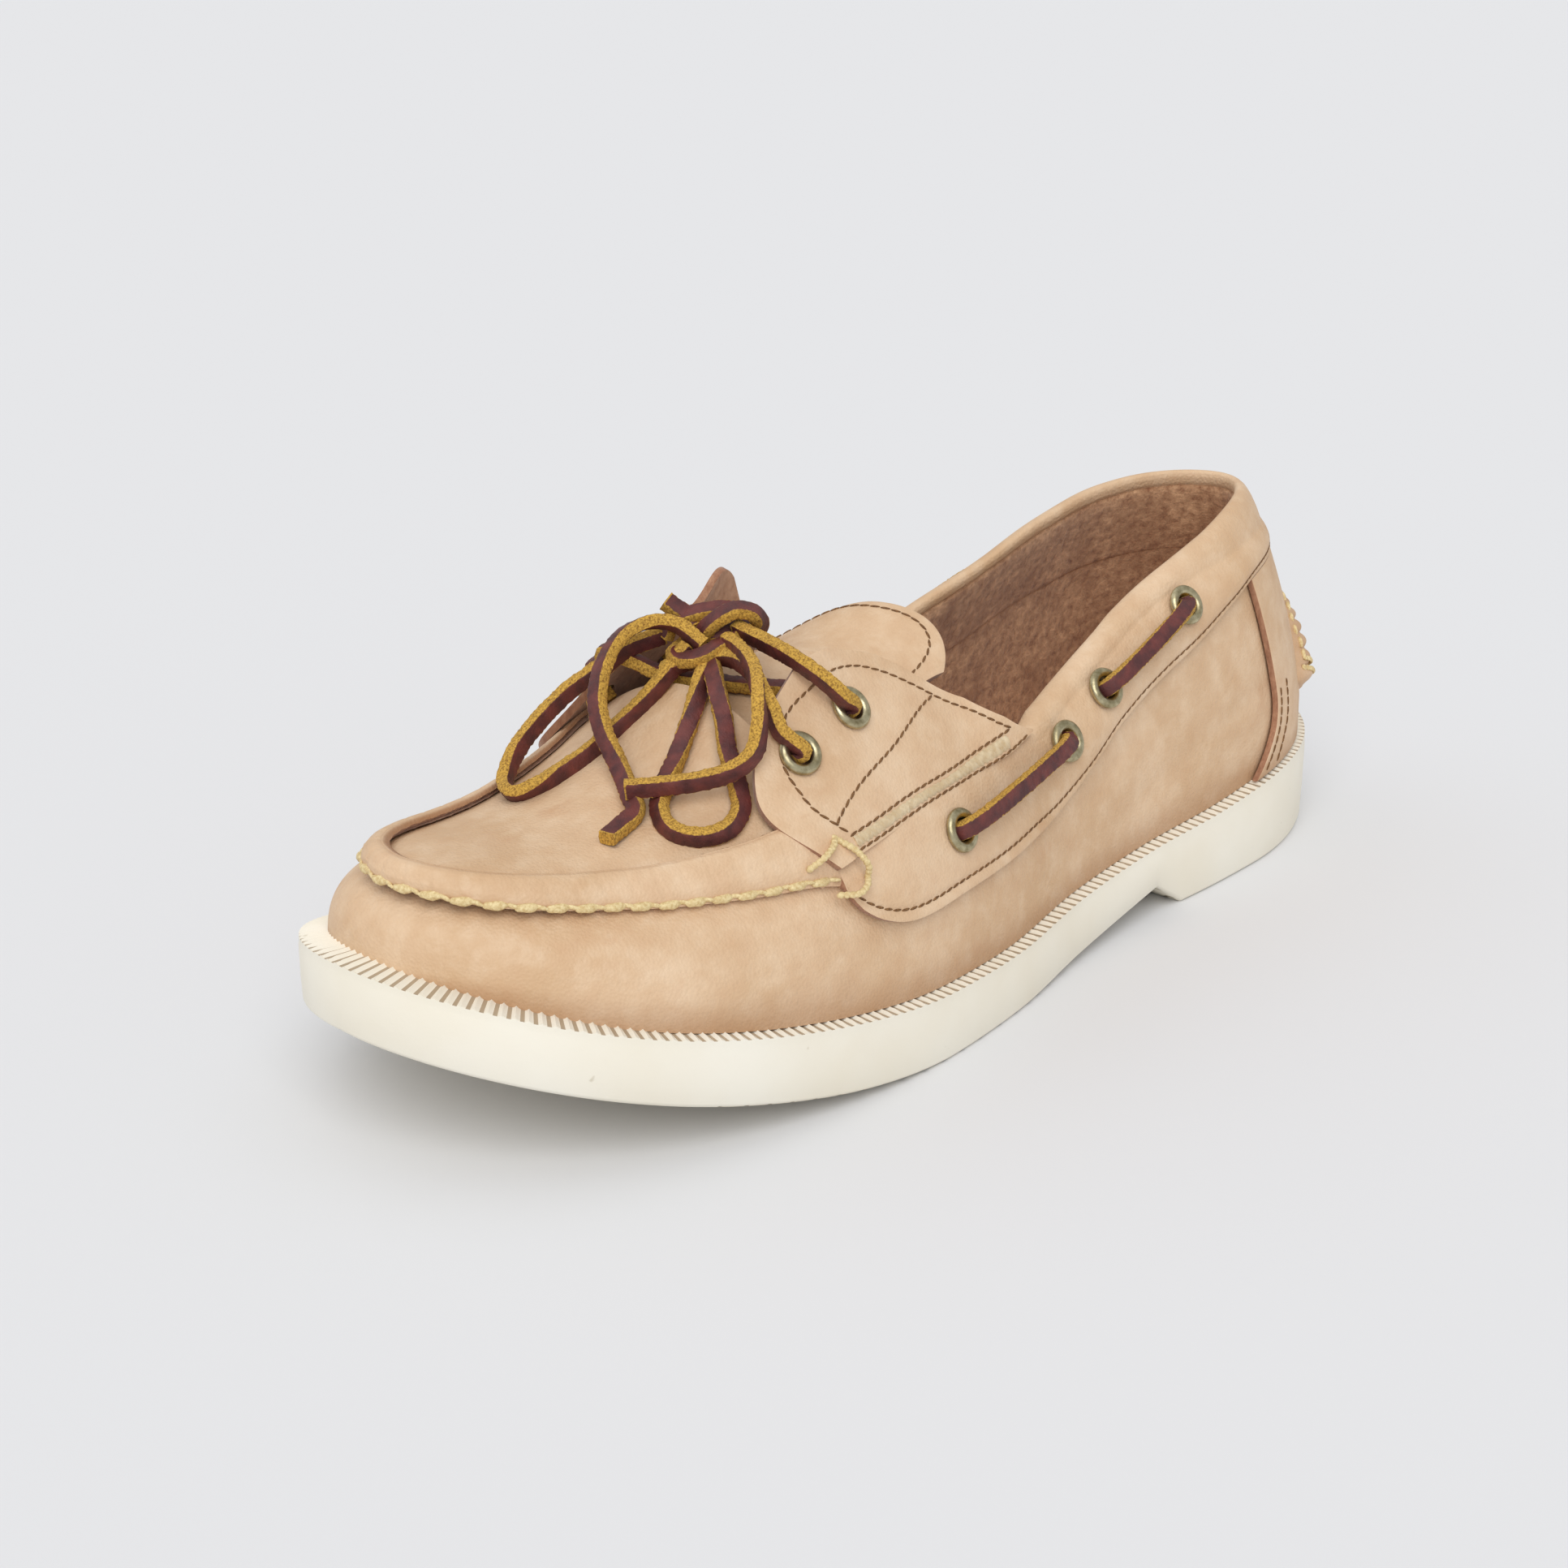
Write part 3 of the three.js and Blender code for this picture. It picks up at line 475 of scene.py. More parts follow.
def lean(s, height):
    fade = clamp(1 - (s - HEEL_LEDGE) / (HEEL_FADE * SOLE_LENGTH))
    return HEEL_LEAN * (max(height - LEAN_START, 0) / TOPLINE_HEIGHT) ** 1.2 * fade


def share_of(s):
    """Share of the upper's length for a distance from the back of the sole."""
    return (s - HEEL_LEDGE) / (SOLE_LENGTH - TOE_LEDGE - HEEL_LEDGE)


def on_wall(s, side, height, offset):
    """A point at a height over the sole, on the outer (side 1) or inner (side -1) wall."""
    c = section(share_of(s), offset)
    share = min(height / c["crown"], 1)
    reach = c[side] * (1 - share ** c["power"]) ** (1 / c["power"])
    return Vector((from_heel(c["s"]) + lean(c["s"], height), c["ridge"] + side * reach, c["base"] + height))


def over_top(s, y, offset):
    """A point on top of the last, by its place seen from above."""
    c = section(share_of(s), offset)
    share = min(abs(y - c["ridge"]) / c[1 if y > c["ridge"] else -1], 1)
    height = c["crown"] * (1 - share ** c["power"]) ** (1 / c["power"])
    return Vector((from_heel(c["s"]) + lean(c["s"], height), y, c["base"] + height))


def level(rows, name, at):
    return TOPLINE_HEIGHT * column(rows, name, at)


# %% [markdown]
# A panel starts as a flat grid, which Blender adds in one step, with its own UV map. Each point
# is then moved to its place on the last, the sheet gets its thickness with Solidify, and a small
# bevel rounds the cut edge. That is how a real panel is made too: cut flat, then lasted.


# %% Helpers for panels
def only(piece):
    bpy.ops.object.select_all(action="DESELECT")
    piece.select_set(True)
    bpy.context.view_layer.objects.active = piece


def apply(piece, kind, **settings):
    only(piece)
    modifier = piece.modifiers.new(kind.lower(), kind)
    for key, value in settings.items():
        setattr(modifier, key, value)
    bpy.ops.object.modifier_apply(modifier=modifier.name)


def edit(piece, *steps):
    """Runs edit-mode steps with all of the piece selected."""
    only(piece)
    bpy.ops.object.mode_set(mode="EDIT")
    bpy.ops.mesh.select_all(action="SELECT")
    for step in steps:
        step()
    bpy.ops.object.mode_set(mode="OBJECT")


def merge_points(distance=0.00002):
    bpy.ops.mesh.remove_doubles(threshold=distance)


def grid(name, columns, rows, place, shade=None):
    """A grid whose points place(u, v) moves, in millimetres; faces look along rising lift."""
    bpy.ops.mesh.primitive_grid_add(x_subdivisions=columns, y_subdivisions=rows, size=2)
    piece = bpy.context.object
    piece.name = piece.data.name = name
    spots = [((v.co.x + 1) / 2, (v.co.y + 1) / 2) for v in piece.data.vertices]
    layer = piece.data.attributes.new("shade", "FLOAT", "POINT")
    if shade:
        layer.data.foreach_set("value", [float(shade(u, v)) for u, v in spots])
    piece.data.vertices.foreach_set("co", [c * MM for u, v in spots for c in place(u, v)])
    piece.data.update()
    middle = piece.data.polygons[len(piece.data.polygons) // 2]
    u, v = np.mean([spots[i] for i in middle.vertices], axis=0)
    if middle.normal.dot(place(u, v, 0.5) - place(u, v)) < 0:
        edit(piece, bpy.ops.mesh.flip_normals)
    return piece


def finishes(piece, *materials):
    piece.data.materials.clear()
    for material in materials:
        piece.data.materials.append(material)


def lay(piece, *nodes, slot="tan_leather", angle=40):
    """A finished piece: smooth, riding on the shoe and standing for its solids."""
    only(piece)
    bpy.ops.object.shade_smooth_by_angle(angle=math.radians(angle))
    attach(piece, "root")
    if nodes:
        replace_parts(piece, *nodes)
    print(piece.name, len(piece.data.polygons), "faces")
    return piece


def thicken(piece, thickness, **settings):
    """Gives a sheet its wall, inwards from its face; the settings pick the finishes."""
    apply(piece, "SOLIDIFY", thickness=thickness * MM, offset=-1, **settings)


def round_off(piece, width, angle):
    """Rounds the edges sharper than an angle in degrees."""
    limit = math.radians(angle)
    apply(piece, "BEVEL", width=width * MM, segments=2, limit_method="ANGLE", angle_limit=limit)


def panel(name, columns, rows, place, thickness=LEATHER, round_edge=0.35, inside=2, shade=None):
    """A leather panel of real thickness: face, rough back and cut edge."""
    piece = grid(name, columns, rows, place, shade)
    edit(piece, merge_points)
    finishes(piece, tan, cut_edge, flesh_side)
    thicken(piece, thickness, material_offset=inside, material_offset_rim=1)
    if round_edge:
        round_off(piece, round_edge, 50)
    return piece


# %% [markdown]
# The lace and the threads are swept along smooth routes, so one function draws a smooth curve
# through a few given points, with its points evenly spaced.


# %% Smooth routes
def route(points, spacing=0.6):
    """Evenly spaced points on a smooth curve through the given ones."""
    p = [Vector(q) for q in points]
    p = [2 * p[0] - p[1], *p, 2 * p[-1] - p[-2]]
    fine = []
    for a, b, c, d in zip(p, p[1:], p[2:], p[3:]):
        t = [0.0]
        for q, r in ((a, b), (b, c), (c, d)):
            t.append(t[-1] + max((r - q).length ** 0.5, 1e-4))
        for k in range(24):
            x = t[1] + (t[2] - t[1]) * k / 24
            ab = a.lerp(b, (x - t[0]) / (t[1] - t[0]))
            bc = b.lerp(c, (x - t[1]) / (t[2] - t[1]))
            cd = c.lerp(d, (x - t[2]) / (t[3] - t[2]))
            abc = ab.lerp(bc, (x - t[0]) / (t[2] - t[0]))
            bcd = bc.lerp(cd, (x - t[1]) / (t[3] - t[1]))
            fine.append(abc.lerp(bcd, (x - t[1]) / (t[2] - t[1])))
    fine.append(p[-2])
    return evenly(fine, spacing)


def evenly(points, spacing):
    steps = [(b - a).length for a, b in zip(points, points[1:])]
    total = sum(steps)
    count = max(round(total / spacing), 2)
    spots, i, walked = [points[0]], 0, 0.0
    for k in range(1, count):
        goal = total * k / count
        while walked + steps[i] < goal:
            walked += steps[i]
            i += 1
        spots.append(points[i].lerp(points[i + 1], (goal - walked) / steps[i]))
    return [*spots, points[-1]]


def heading(points, i):
    return (points[min(i + 1, len(points) - 1)] - points[max(i - 1, 0)]).normalized()


# %% [markdown]
# The lace is a thong cut from hide: maroon grain on its two wide faces, mustard flesh on the two
# cut edges. Its section is swept along a route, and turns slowly round it, because a thong never
# lies without a twist. The knot and bow are placed as the camera sees them: so many millimetres to
# the right, up and towards the viewer from the knot's middle. Each free length is its own cord.

# %% The lace
LACE_WIDTH = 3.6
LACE_THICKNESS = 2.7
LACE_CORNER = 0.5
SHOWN = Vector((0.62, 0.64, 0.45)).normalized()
SIDES = (("lateral", 1), ("medial", -1))
TACK_STEP = 1.2
TACKS = (
    [(217.5, 30.0, -0.5), (214.5, 32.5, 2.2), (211, 34.2, 1.6), (209.5, 35.0, 0.3)],
    [(209.5, 35.0, 0.2), (206.5, 33.0, 1.5), (205.0, 30.0, 1.4), (205.2, 27.5, -0.5)],
    [(213.0, 24.8, -0.8), (209.0, 25.2, 0.8), (206.5, 26.5, 0.8), (205.2, 27.5, -0.5)],
)
KNOT_MIDDLE = Vector((51, -4, 82.8))
view_right = Vector((0, 0, 1)).cross(to_camera).normalized()
view_up = to_camera.cross(view_right)
eye = (VIEW_TARGET + to_camera * VIEW_DISTANCE) / MM
knot_distance = (eye - KNOT_MIDDLE).dot(to_camera)


def seen(right, up, toward):
    """A point by its place in the camera's view, in millimetres from the knot's middle."""
    flat = KNOT_MIDDLE - eye + view_right * right + view_up * up
    return eye + flat * (1 - toward / knot_distance)


def seat_of(node):
    """Where an eyelet's solid sits: its centre on the leather, and its axis pointing out."""
    points = np.array([tuple(v.co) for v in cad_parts[node].data.vertices])
    centre = points.mean(axis=0)
    axis = Vector(np.linalg.svd(points - centre, full_matrices=False)[2][2])
    side = 1 if "lateral" in node else -1
    if axis.y * side < 0:
        axis.negate()
    along = (points - centre) @ np.array(axis)
    seat = Vector(centre) + axis * (along.min() + 1.6 * MM)
    return Matrix.Translation(seat) @ axis.to_track_quat("Z", "Y").to_matrix().to_4x4()


EYELETS = ("front", "rear", "one", "two", "three", "four")
eyelet_names = [f"eyelet_{label}_{number}" for label, side in SIDES for number in EYELETS]
seats = {node: seat_of(node) for node in eyelet_names}


def eyelet_place(node, out):
    """A point over an eyelet's middle, so far out of the leather."""
    axis = (seats[node].to_3x3() @ Vector((0, 0, 1))).normalized()
    return seats[node].translation / MM + axis * out


def lace_section():
    """The thong's section: x through the grain faces, y through the cut edges, and its share of cut."""
    w, d, r = LACE_THICKNESS / 2, LACE_WIDTH / 2, LACE_CORNER
    edge = [
        (-w + r, d, 1), (0, d + 0.15, 1), (w - r, d, 1), (w - 0.12, d - 0.14, 0.55),
        (w, d - r, 0.1), (w, 0, 0), (w, -d + r, 0.1), (w - 0.12, -d + 0.14, 0.55),
    ]
    return edge + [(-x, -y, cut) for x, y, cut in edge]


def thong(name, points, turns, spacing=0.6):
    """The lace along a route; turns are angles of its cut edge from the view, evenly along it."""
    spots = route(points, spacing)
    ring = lace_section()
    count = len(ring)
    bpy.ops.mesh.primitive_grid_add(x_subdivisions=len(spots) - 1, y_subdivisions=count, size=2)
    piece = bpy.context.object
    piece.name = piece.data.name = name
    wobble = np.random.default_rng(len(spots)).normal(0, 0.035, (len(spots), count))
    angles = np.radians(np.interp(np.linspace(0, len(turns) - 1, len(spots)), range(len(turns)), turns))
    places, cuts = [], []
    for vertex in piece.data.vertices:
        i = round((vertex.co.x + 1) / 2 * (len(spots) - 1))
        k = round((vertex.co.y + 1) / 2 * count) % count
        ahead = heading(spots, i)
        across = ahead.cross(SHOWN).normalized()
        out = across.cross(ahead).normalized()
        turn = float(angles[i])
        cut_way = out * math.cos(turn) + across * math.sin(turn)
        grain_way = out * math.sin(turn) - across * math.cos(turn)
        x, y, cut = ring[k]
        places += [c * MM for c in spots[i] + (grain_way * x + cut_way * y) * (1 + wobble[i][k])]
        cuts.append(1 if i in (0, len(spots) - 1) else cut)
    piece.data.vertices.foreach_set("co", places)
    piece.data.attributes.new("cut", "FLOAT", "POINT").data.foreach_set("value", cuts)
    edit(
        piece,
        merge_points,
        lambda: bpy.ops.mesh.fill_holes(sides=0),
        lambda: bpy.ops.mesh.normals_make_consistent(inside=False),
    )
    finishes(piece, lace_hide)
    return lay(piece, slot="rawhide_lace", angle=50), spots


def joined(pieces, name):
    bpy.ops.object.select_all(action="DESELECT")
    for piece in pieces:
        piece.select_set(True)
    bpy.context.view_layer.objects.active = pieces[0]
    bpy.ops.object.join()
    pieces[0].name = pieces[0].data.name = name
    return pieces[0]


def free_lace(name, points, turns):
    """A free length of lace, which stands for the cord solid of its name."""
    piece, spots = thong(name + "_thong", points, turns)
    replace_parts(piece, name)
    length = sum((b - a).length for a, b in zip(spots, spots[1:])) * MM
    path = [tuple(p * MM) for p in spots]
    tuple(path[0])
    print(name, "is", round(length / MM), "mm long")


# %% [markdown]
# The knot is a wrap, a bend, a core and a short cut tail, pulled tight. A simulation could tie it,
# but a few listed points a piece look the same and give the same result each run. Two loops
# and two ends leave it, and two strands come up to it from the rear eyelets. Each strand starts
# inside its eyelet, where the ring hides it.


# %% Knot and bow
def seen_route(rows):
    return [seen(*map(float, row.split())) for row in rows.split(",")]


knot_wrap = seen_route("""-1.5 -1 1, -1.6 0.5 3, 0.9 2.9 5, 4.6 4.8 5.5, 8 4.4 4.5, 9.7 2.6 2, 9 0.4 -0.5,
    7 -0.6 0.5, 5.2 -0.5 3, 1.5 -2.7 6.5, -2.8 -4.9 7.5, -6.2 -5.2 5.5, -7.8 -4.2 2, -6.5 -2.8 -1""")
knot_bend = seen_route("-10 -0.5 -2, -8.5 2.2 -1, -4.7 3.9 0, 0 4.8 0, 3.4 4.8 -1, 5 3 -2")
knot_core = seen_route("-6 -1.5 -1, -2 -0.2 1.5, 2 0.5 2, 6 1.2 0, 8 1.5 -2")
knot_tail = seen_route("-3.5 1.5 0, -5 3.6 -0.5, -7.3 5.2 -0.5, -9.6 6.9 -0.5")
knot = joined([
    thong("knot_wrap", knot_wrap, (50, 45, 45, 45, 10, -40, -45, -45, -10))[0],
    thong("knot_bend", knot_bend, (50, 50))[0],
    thong("knot_core", knot_core, (80, 80))[0],
    thong("knot_tail", knot_tail, (110, 120))[0],
], "lace_knot_tied")
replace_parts(knot, "lace_knot")

REAR_OUTER = "eyelet_lateral_rear"
REAR_INNER = "eyelet_medial_rear"
strand_lateral = [
    eyelet_place(REAR_OUTER, -7), eyelet_place(REAR_OUTER, -3), eyelet_place(REAR_OUTER, 0.6),
    *seen_route("26.8 -13.5 18.5, 22.9 -9.9 20, 17 -5.6 18.5, 10.8 -2 10, 5 1 3"),
]
strand_medial = [
    eyelet_place(REAR_INNER, -7), eyelet_place(REAR_INNER, -3), eyelet_place(REAR_INNER, 1),
    eyelet_place(REAR_INNER, 4) + Vector((0.6, 3, 1)),
    (46.3, -20, 83), (48.3, -13, 83.5), (50.5, -7, 83),
]
end_one = seen_route("""-2 -2.5 5, -7.5 2 3.5, -13 2.5 3, -18.5 0 4, -22.5 -6 7, -24 -13 10, -23 -19.5 13,
    -20 -26.5 18, -17.5 -33 26, -16.5 -36.5 29.5, -19.5 -39.5 33, -22.5 -42 36.5""")
end_two = seen_route("""3 -1.5 6, 5 -3 10, 8 -7 19.5, 9.2 -13 28, 9.4 -19.5 30.5, 8 -25 31, 4 -28.3 30.5,
    -2.5 -30.3 29.5, -10.5 -31.3 29, -18.6 -31.9 28.5""")
loop_left = seen_route("""-5 -2.5 3, -10.5 -9.5 4, -15.5 -15 3.5, -20.5 -19.5 4, -25 -23.5 6.5,
    -31.5 -28 10.5, -36.5 -31 14, -41 -32.5 15.5, -43.2 -30 8.5, -41 -24 4, -36.5 -18 0, -30 -11.5 -2,
    -23.5 -7 -2, -18 -3 -2, -10 0 -2.5""")
loop_lower = seen_route("""-1.3 -5.8 6, -3.4 -13 12, -5.5 -19.5 16, -8 -26 20, -10.5 -31.5 24.5,
    -11.5 -36.5 29.5, -9 -40.5 33.8, -3.5 -42 34.6, 2.5 -40.5 32.8, 5.3 -36.5 29.3, 4.7 -31.5 26,
    2.7 -24 22, 2 -18 18, 0.7 -11.5 13.5, -0.5 -6 7""")
free_lace("lace_strand_lateral", strand_lateral, (25, 25))
free_lace("lace_strand_medial", strand_medial, (25, 25))
free_lace("lace_end_one", end_one, (25, 5, -30, -45, -50, -65, -60, -50))
free_lace("lace_end_two", end_two, (-25, -25, -10, 20, 45, 52, 52))
free_lace("lace_loop_left", loop_left, (30, 45, 60, 55, 0, -45, -45, -45, -45))
free_lace("lace_loop_lower", loop_lower, (20, 60, 100, 130, 140, 140, 130, 115, 100, 80, 70))

# %% [markdown]
# The outsole is one moulding. Its outline and its side come from the sole's sections, with the
# sections set evenly along the outline, so that the teeth on its top edge keep one pitch. It could
# be an extruded outline, but the heel, the arch and the toe's rise change the section all the way.

# %% Outsole
RIB_PITCH = 2.5
RIB_HEIGHT = 0.55
SOLE_STATIONS = 960
SOLE_PROFILE = [
    (0.0, 6.0), (0.0, 1.2), (0.03, 0.5), (0.07, 0.2), (0.4, 0.0), (0.84, 0.0), (0.86, 0.15), (0.95, 0.15),
    (0.985, 0.25), (1.0, 0.6), (1.0, 1.6), (1.0, 4.5), (1.0, 8.5),
]


@lru_cache(None)
def sole_outline(at):
    rounding = round_end(SOLE_LENGTH * at, HEEL_ROUND * SOLE_LENGTH)
    rounding *= round_end(SOLE_LENGTH * (1 - at), TOE_ROUND * SOLE_LENGTH)
    return BALL_WIDTH * column(SOLE, "middle", at), BALL_WIDTH * column(SOLE, "half", at) * rounding


def even_stations(count):
    """Places along the sole, even along its outer outline, and the outline's length to each."""
    fine = [0.5 - 0.5 * math.cos(math.pi * k / 4000) for k in range(4001)]
    spots = np.array([(SOLE_LENGTH * at, sum(sole_outline(at))) for at in fine])
    walked = np.concatenate([[0], np.cumsum(np.linalg.norm(np.diff(spots, axis=0), axis=1))])
    goals = np.linspace(0, walked[-1], count + 1)
    return np.interp(goals, walked, fine), goals


stations, walked_outline = even_stations(SOLE_STATIONS)


def sole_point(u, v, lift=0.0):
    """A point of the moulding; v runs up the outer side over the ledge and down the inner side."""
    i = round(u * SOLE_STATIONS)
    at, walked = float(stations[i]), walked_outline[i]
    rows = SOLE_PROFILE
    k = round(v * (2 * len(rows)))
    side = 1 if k < len(rows) else -1
    k = k % (2 * len(rows))
    rise, inset = rows[k] if k < len(rows) else rows[2 * len(rows) - 1 - k]
    middle, half = sole_outline(at)
    reach = max(half - inset * min(half / 12, 1), 0)
    low, high = underside(at), sole_top(at)
    on_edge = rise > 0.96 and inset < 3
    tooth = max(math.cos(2 * math.pi * walked / RIB_PITCH), 0) ** 3 if on_edge else 0
    relief = RIB_HEIGHT * (0.6 * tooth - 0.6 * (rise == 1.0))
    end = (inset + lift) * (1 - math.sqrt(clamp(half / (0.4 * BALL_WIDTH)))) * (1 if at < 0.5 else -1)
    side = side if k else 1
    y = middle + side * (reach + lift)
    return Vector((from_heel(SOLE_LENGTH * at) + end, y, low + (high - low) * rise + relief))


outsole = grid("outsole_moulding", SOLE_STATIONS, 2 * len(SOLE_PROFILE), sole_point)
edit(
    outsole,
    merge_points,
    lambda: bpy.ops.mesh.fill_holes(sides=0),
    lambda: bpy.ops.mesh.normals_make_consistent(inside=False),
)
finishes(outsole, sole_cream, sole_tread)
for face in outsole.data.polygons:
    face.material_index = int(face.normal.z < -0.8)
lay(outsole, "outsole", slot="cream_rubber", angle=45)

# %% [markdown]
# The ledge around the upper is ribbed square to the sole's edge. A bump pattern could show the
# ribs, but they catch the light and break the outline, so a thin grid that follows the edge
# carries them as real relief, with painted shade, a darker rubber colour, down in the grooves.

# %% Ribbed ledge
LEDGE_WIDTH = 9.0
LEDGE_SKIN = 0.8
RIB_STEPS = 6
GROOVE = (0.34, 0.66)


def outline_loop():
    """The sole's outline seen from above, evenly stepped all the way round."""
    sides = []
    for side in (1, -1):
        spots = []
        for k in range(2401):
            at = 0.5 - 0.5 * math.cos(math.pi * k / 2400)
            middle, half = sole_outline(at)
            spots.append(Vector((SOLE_LENGTH * at, middle + side * half, 0)))
        sides.append(spots)
    return evenly([*sides[0], *sides[1][::-1][1:]], RIB_PITCH / RIB_STEPS)


loop = outline_loop()


def ledge_point(u, v, lift=0.0):
    i = round(u * (len(loop) - 1))
    p = loop[i]
    at_tip = i < 3 or i > len(loop) - 4
    way = Vector((0, 1, 0)) if at_tip else (loop[i + 2] - loop[i - 2]).normalized()
    inset = 0.25 + v * LEDGE_WIDTH
    s, y = p.x + way.y * inset, p.y - way.x * inset
    rib = max(math.cos(2 * math.pi * i / RIB_STEPS), 0) ** 1.5
    fade = clamp(v * 12) * 0.5 + 0.5
    top = sole_top(clamp(p.x / SOLE_LENGTH)) - 0.15
    return Vector((from_heel(s), y, top + RIB_HEIGHT * rib * fade + lift))


ledge = grid("ribbed_ledge", len(loop) - 1, 6, ledge_point)
edit(ledge, merge_points)
finishes(ledge, sole_cream, groove_shade_rubber)
# Painted shade: the faces down in each groove get the darker rubber.
for face in ledge.data.polygons:
    spots = [ledge.data.uv_layers[0].data[k].uv.x for k in face.loop_indices]
    phase = (sum(spots) / len(spots) * (len(loop) - 1) / RIB_STEPS) % 1
    face.material_index = 1 if GROOVE[0] < phase < GROOVE[1] else 0
thicken(ledge, LEDGE_SKIN)
lay(ledge, "outsole", slot="cream_rubber", angle=60)

# %% [markdown]
# The hand-sewn seam runs round the toe from one flap to the other. One smooth route serves the
# apron's edge, the lip, the gathers and the thread, so that they can't drift apart. A tree of the
# route's points then finds the stitch nearest to any place on the vamp.

# %% Seam around the apron
APRON = table("at lateral medial", """
    0.7    0.378  0.31
    0.73   0.362  0.295
    0.765  0.338  0.27
    0.823  0.282  0.235
    0.85   0.249  0.222
    0.877  0.216  0.208
    0.902  0.179  0.187
    0.923  0.132  0.155
    0.939  0.066  0.105
""")
APRON_TIP = 0.9465
APRON_TIP_SIDE = -0.02
SEAM_WIDTH = 7.0
STITCH_PITCH = 5.4
SEAM_STEP = 0.6


def seam_route():
    outer = [(SOLE_LENGTH * r["at"], BALL_WIDTH * r["lateral"], 0) for r in APRON]
    inner = [(SOLE_LENGTH * r["at"], -BALL_WIDTH * r["medial"], 0) for r in APRON]
    tip = (SOLE_LENGTH * APRON_TIP, BALL_WIDTH * APRON_TIP_SIDE, 0)
    return route([*outer, tip, *inner[::-1]], SEAM_STEP)


seam = seam_route()
seam_tree = KDTree(len(seam))
for number, spot in enumerate(seam):
    seam_tree.insert(spot, number)
seam_tree.balance()
seam_length = SEAM_STEP * len(seam)
print("the seam is", round(seam_length), "mm long")

# %% [markdown]
# The vamp and quarters are one hollow shell. Each half is a grid from the sole up to the edge of
# the opening, and the halves are merged where they meet at the heel, the toe and over the toes.
# Solidify then gives the leather its 2 mm, with the suede lining as its inner face. Soft creases
# are placed where the foot bends and where the leather is gathered to the seam.

# %% Shell of the upper
CREASES = table("at side height length width depth slope", """
    0.665  1  14  26  2.6  0.35  0.5
    0.69   1  20  18  2.2  0.3   0.7
    0.62   1  10  30  3.5  0.3   0.2
    0.36   1  24  34  3.2  0.45 -0.35
    0.3    1  14  30  3.6  0.35 -0.2
    0.19   1  20  20  3.0  0.35 -0.1
    0.665 -1  14  26  2.6  0.35  0.5
    0.62  -1  10  30  3.5  0.3   0.2
    0.36  -1  24  34  3.2  0.45 -0.35
    0.19  -1  20  20  3.0  0.35 -0.1
""")


def crease_depth(s, side, height):
    """Depth of the soft troughs at a place on the wall."""
    depth = 0.0
    for crease in CREASES:
        if crease["side"] == side:
            run = s - SOLE_LENGTH * crease["at"]
            rise = height - crease["height"] - run * crease["slope"]
            if abs(run) < crease["length"]:
                fade = math.cos(math.pi / 2 * run / crease["length"]) ** 2
                depth += crease["depth"] * fade * math.exp(-((rise / crease["width"]) ** 2))
    return depth


GATHER_REACH = 12
GATHER_DEPTH = 0.22
VAMP_START = 0.68
TOE_TRIM = 1.5
TRIM_FROM = 250
TRIM_TO = 288
LEAST_WALL = 31
BEHIND_FLAP = 0.53
SHELL_COLUMNS = 280
SHELL_ROWS = 80


def gather(s, y):
    """Shallow gathers that fan out below the seam, one to a stitch."""
    spot, number, gap = seam_tree.find((s, y, 0))
    if gap > GATHER_REACH:
        return 0.0
    wave = math.cos(2 * math.pi * number * SEAM_STEP / STITCH_PITCH)
    return GATHER_DEPTH * wave * (1 - gap / GATHER_REACH) ** 2


@lru_cache(None)
def top_angle(a, side):
    """How far up its section the wall goes before the collar or the lacing gap cuts it."""
    c = section(a, 0.0)
    at = c["s"] / SOLE_LENGTH
    angle = math.pi / 2
    if at < 0.47:
        height = level(TOPLINE, "lateral" if side > 0 else "medial", at)
        angle = math.asin(clamp(height / c["crown"]) ** (c["power"] / 2))
    if 0.4 <= at <= 0.713:
        half = BALL_WIDTH * column(THROAT, "half", at)
        cut = math.acos(clamp(half / max(c[side], 0.01)) ** (c["power"] / 2))
        if at < BEHIND_FLAP:
            cut = max(cut, math.asin(clamp(LEAST_WALL / c["crown"]) ** (c["power"] / 2)))
        angle = min(angle, cut)
    return angle


def shell_point(side):
    """One half of the shell: u from heel to toe, v from the sole to the opening's edge."""
    def place(u, v, lift=0.0):
        a = 0.5 - 0.5 * math.cos(math.pi * u)
        c = section(a, 0.0)
        angle = top_angle(a, side) * v
        height = c["crown"] * math.sin(angle) ** (2 / c["power"])
        y = c["ridge"] + side * c[side] * max(math.cos(angle), 0) ** (2 / c["power"])
        relief = -crease_depth(c["s"], side, height) if v < 1 else 0.0
        if c["s"] > VAMP_START * SOLE_LENGTH:
            relief += gather(c["s"], y) - TOE_TRIM * smooth(c["s"], TRIM_FROM, TRIM_TO)
        c = section(a, round(relief + lift, 3))
        height = c["crown"] * math.sin(angle) ** (2 / c["power"])
        y = c["ridge"] + side * c[side] * max(math.cos(angle), 0) ** (2 / c["power"])
        return Vector((from_heel(c["s"]) + lean(c["s"], height), y, c["base"] + height))

    return place


# Painted shade: the shell is darker towards the sole.
def low_shade(u, v):
    return 0.55 * (1 - smooth(v, 0.0, 0.16))


shell = joined([
    grid(f"shell_{side}", SHELL_COLUMNS, SHELL_ROWS, shell_point(side), low_shade) for side in (1, -1)
], "upper_shell")
edit(shell, lambda: merge_points(0.00006))
finishes(shell, tan, suede)
thicken(shell, UPPER_WALL, material_offset=1, material_offset_rim=1)
print("the shell has", len(shell.data.polygons), "faces")

# %% [markdown]
# The apron is the flat plug over the toes. It runs out under the raised seam on all sides and
# back under the flaps. The seam is the vamp's edge turned up against it: a rounded lip with a
# raw inner edge, gathered a little at each stitch.


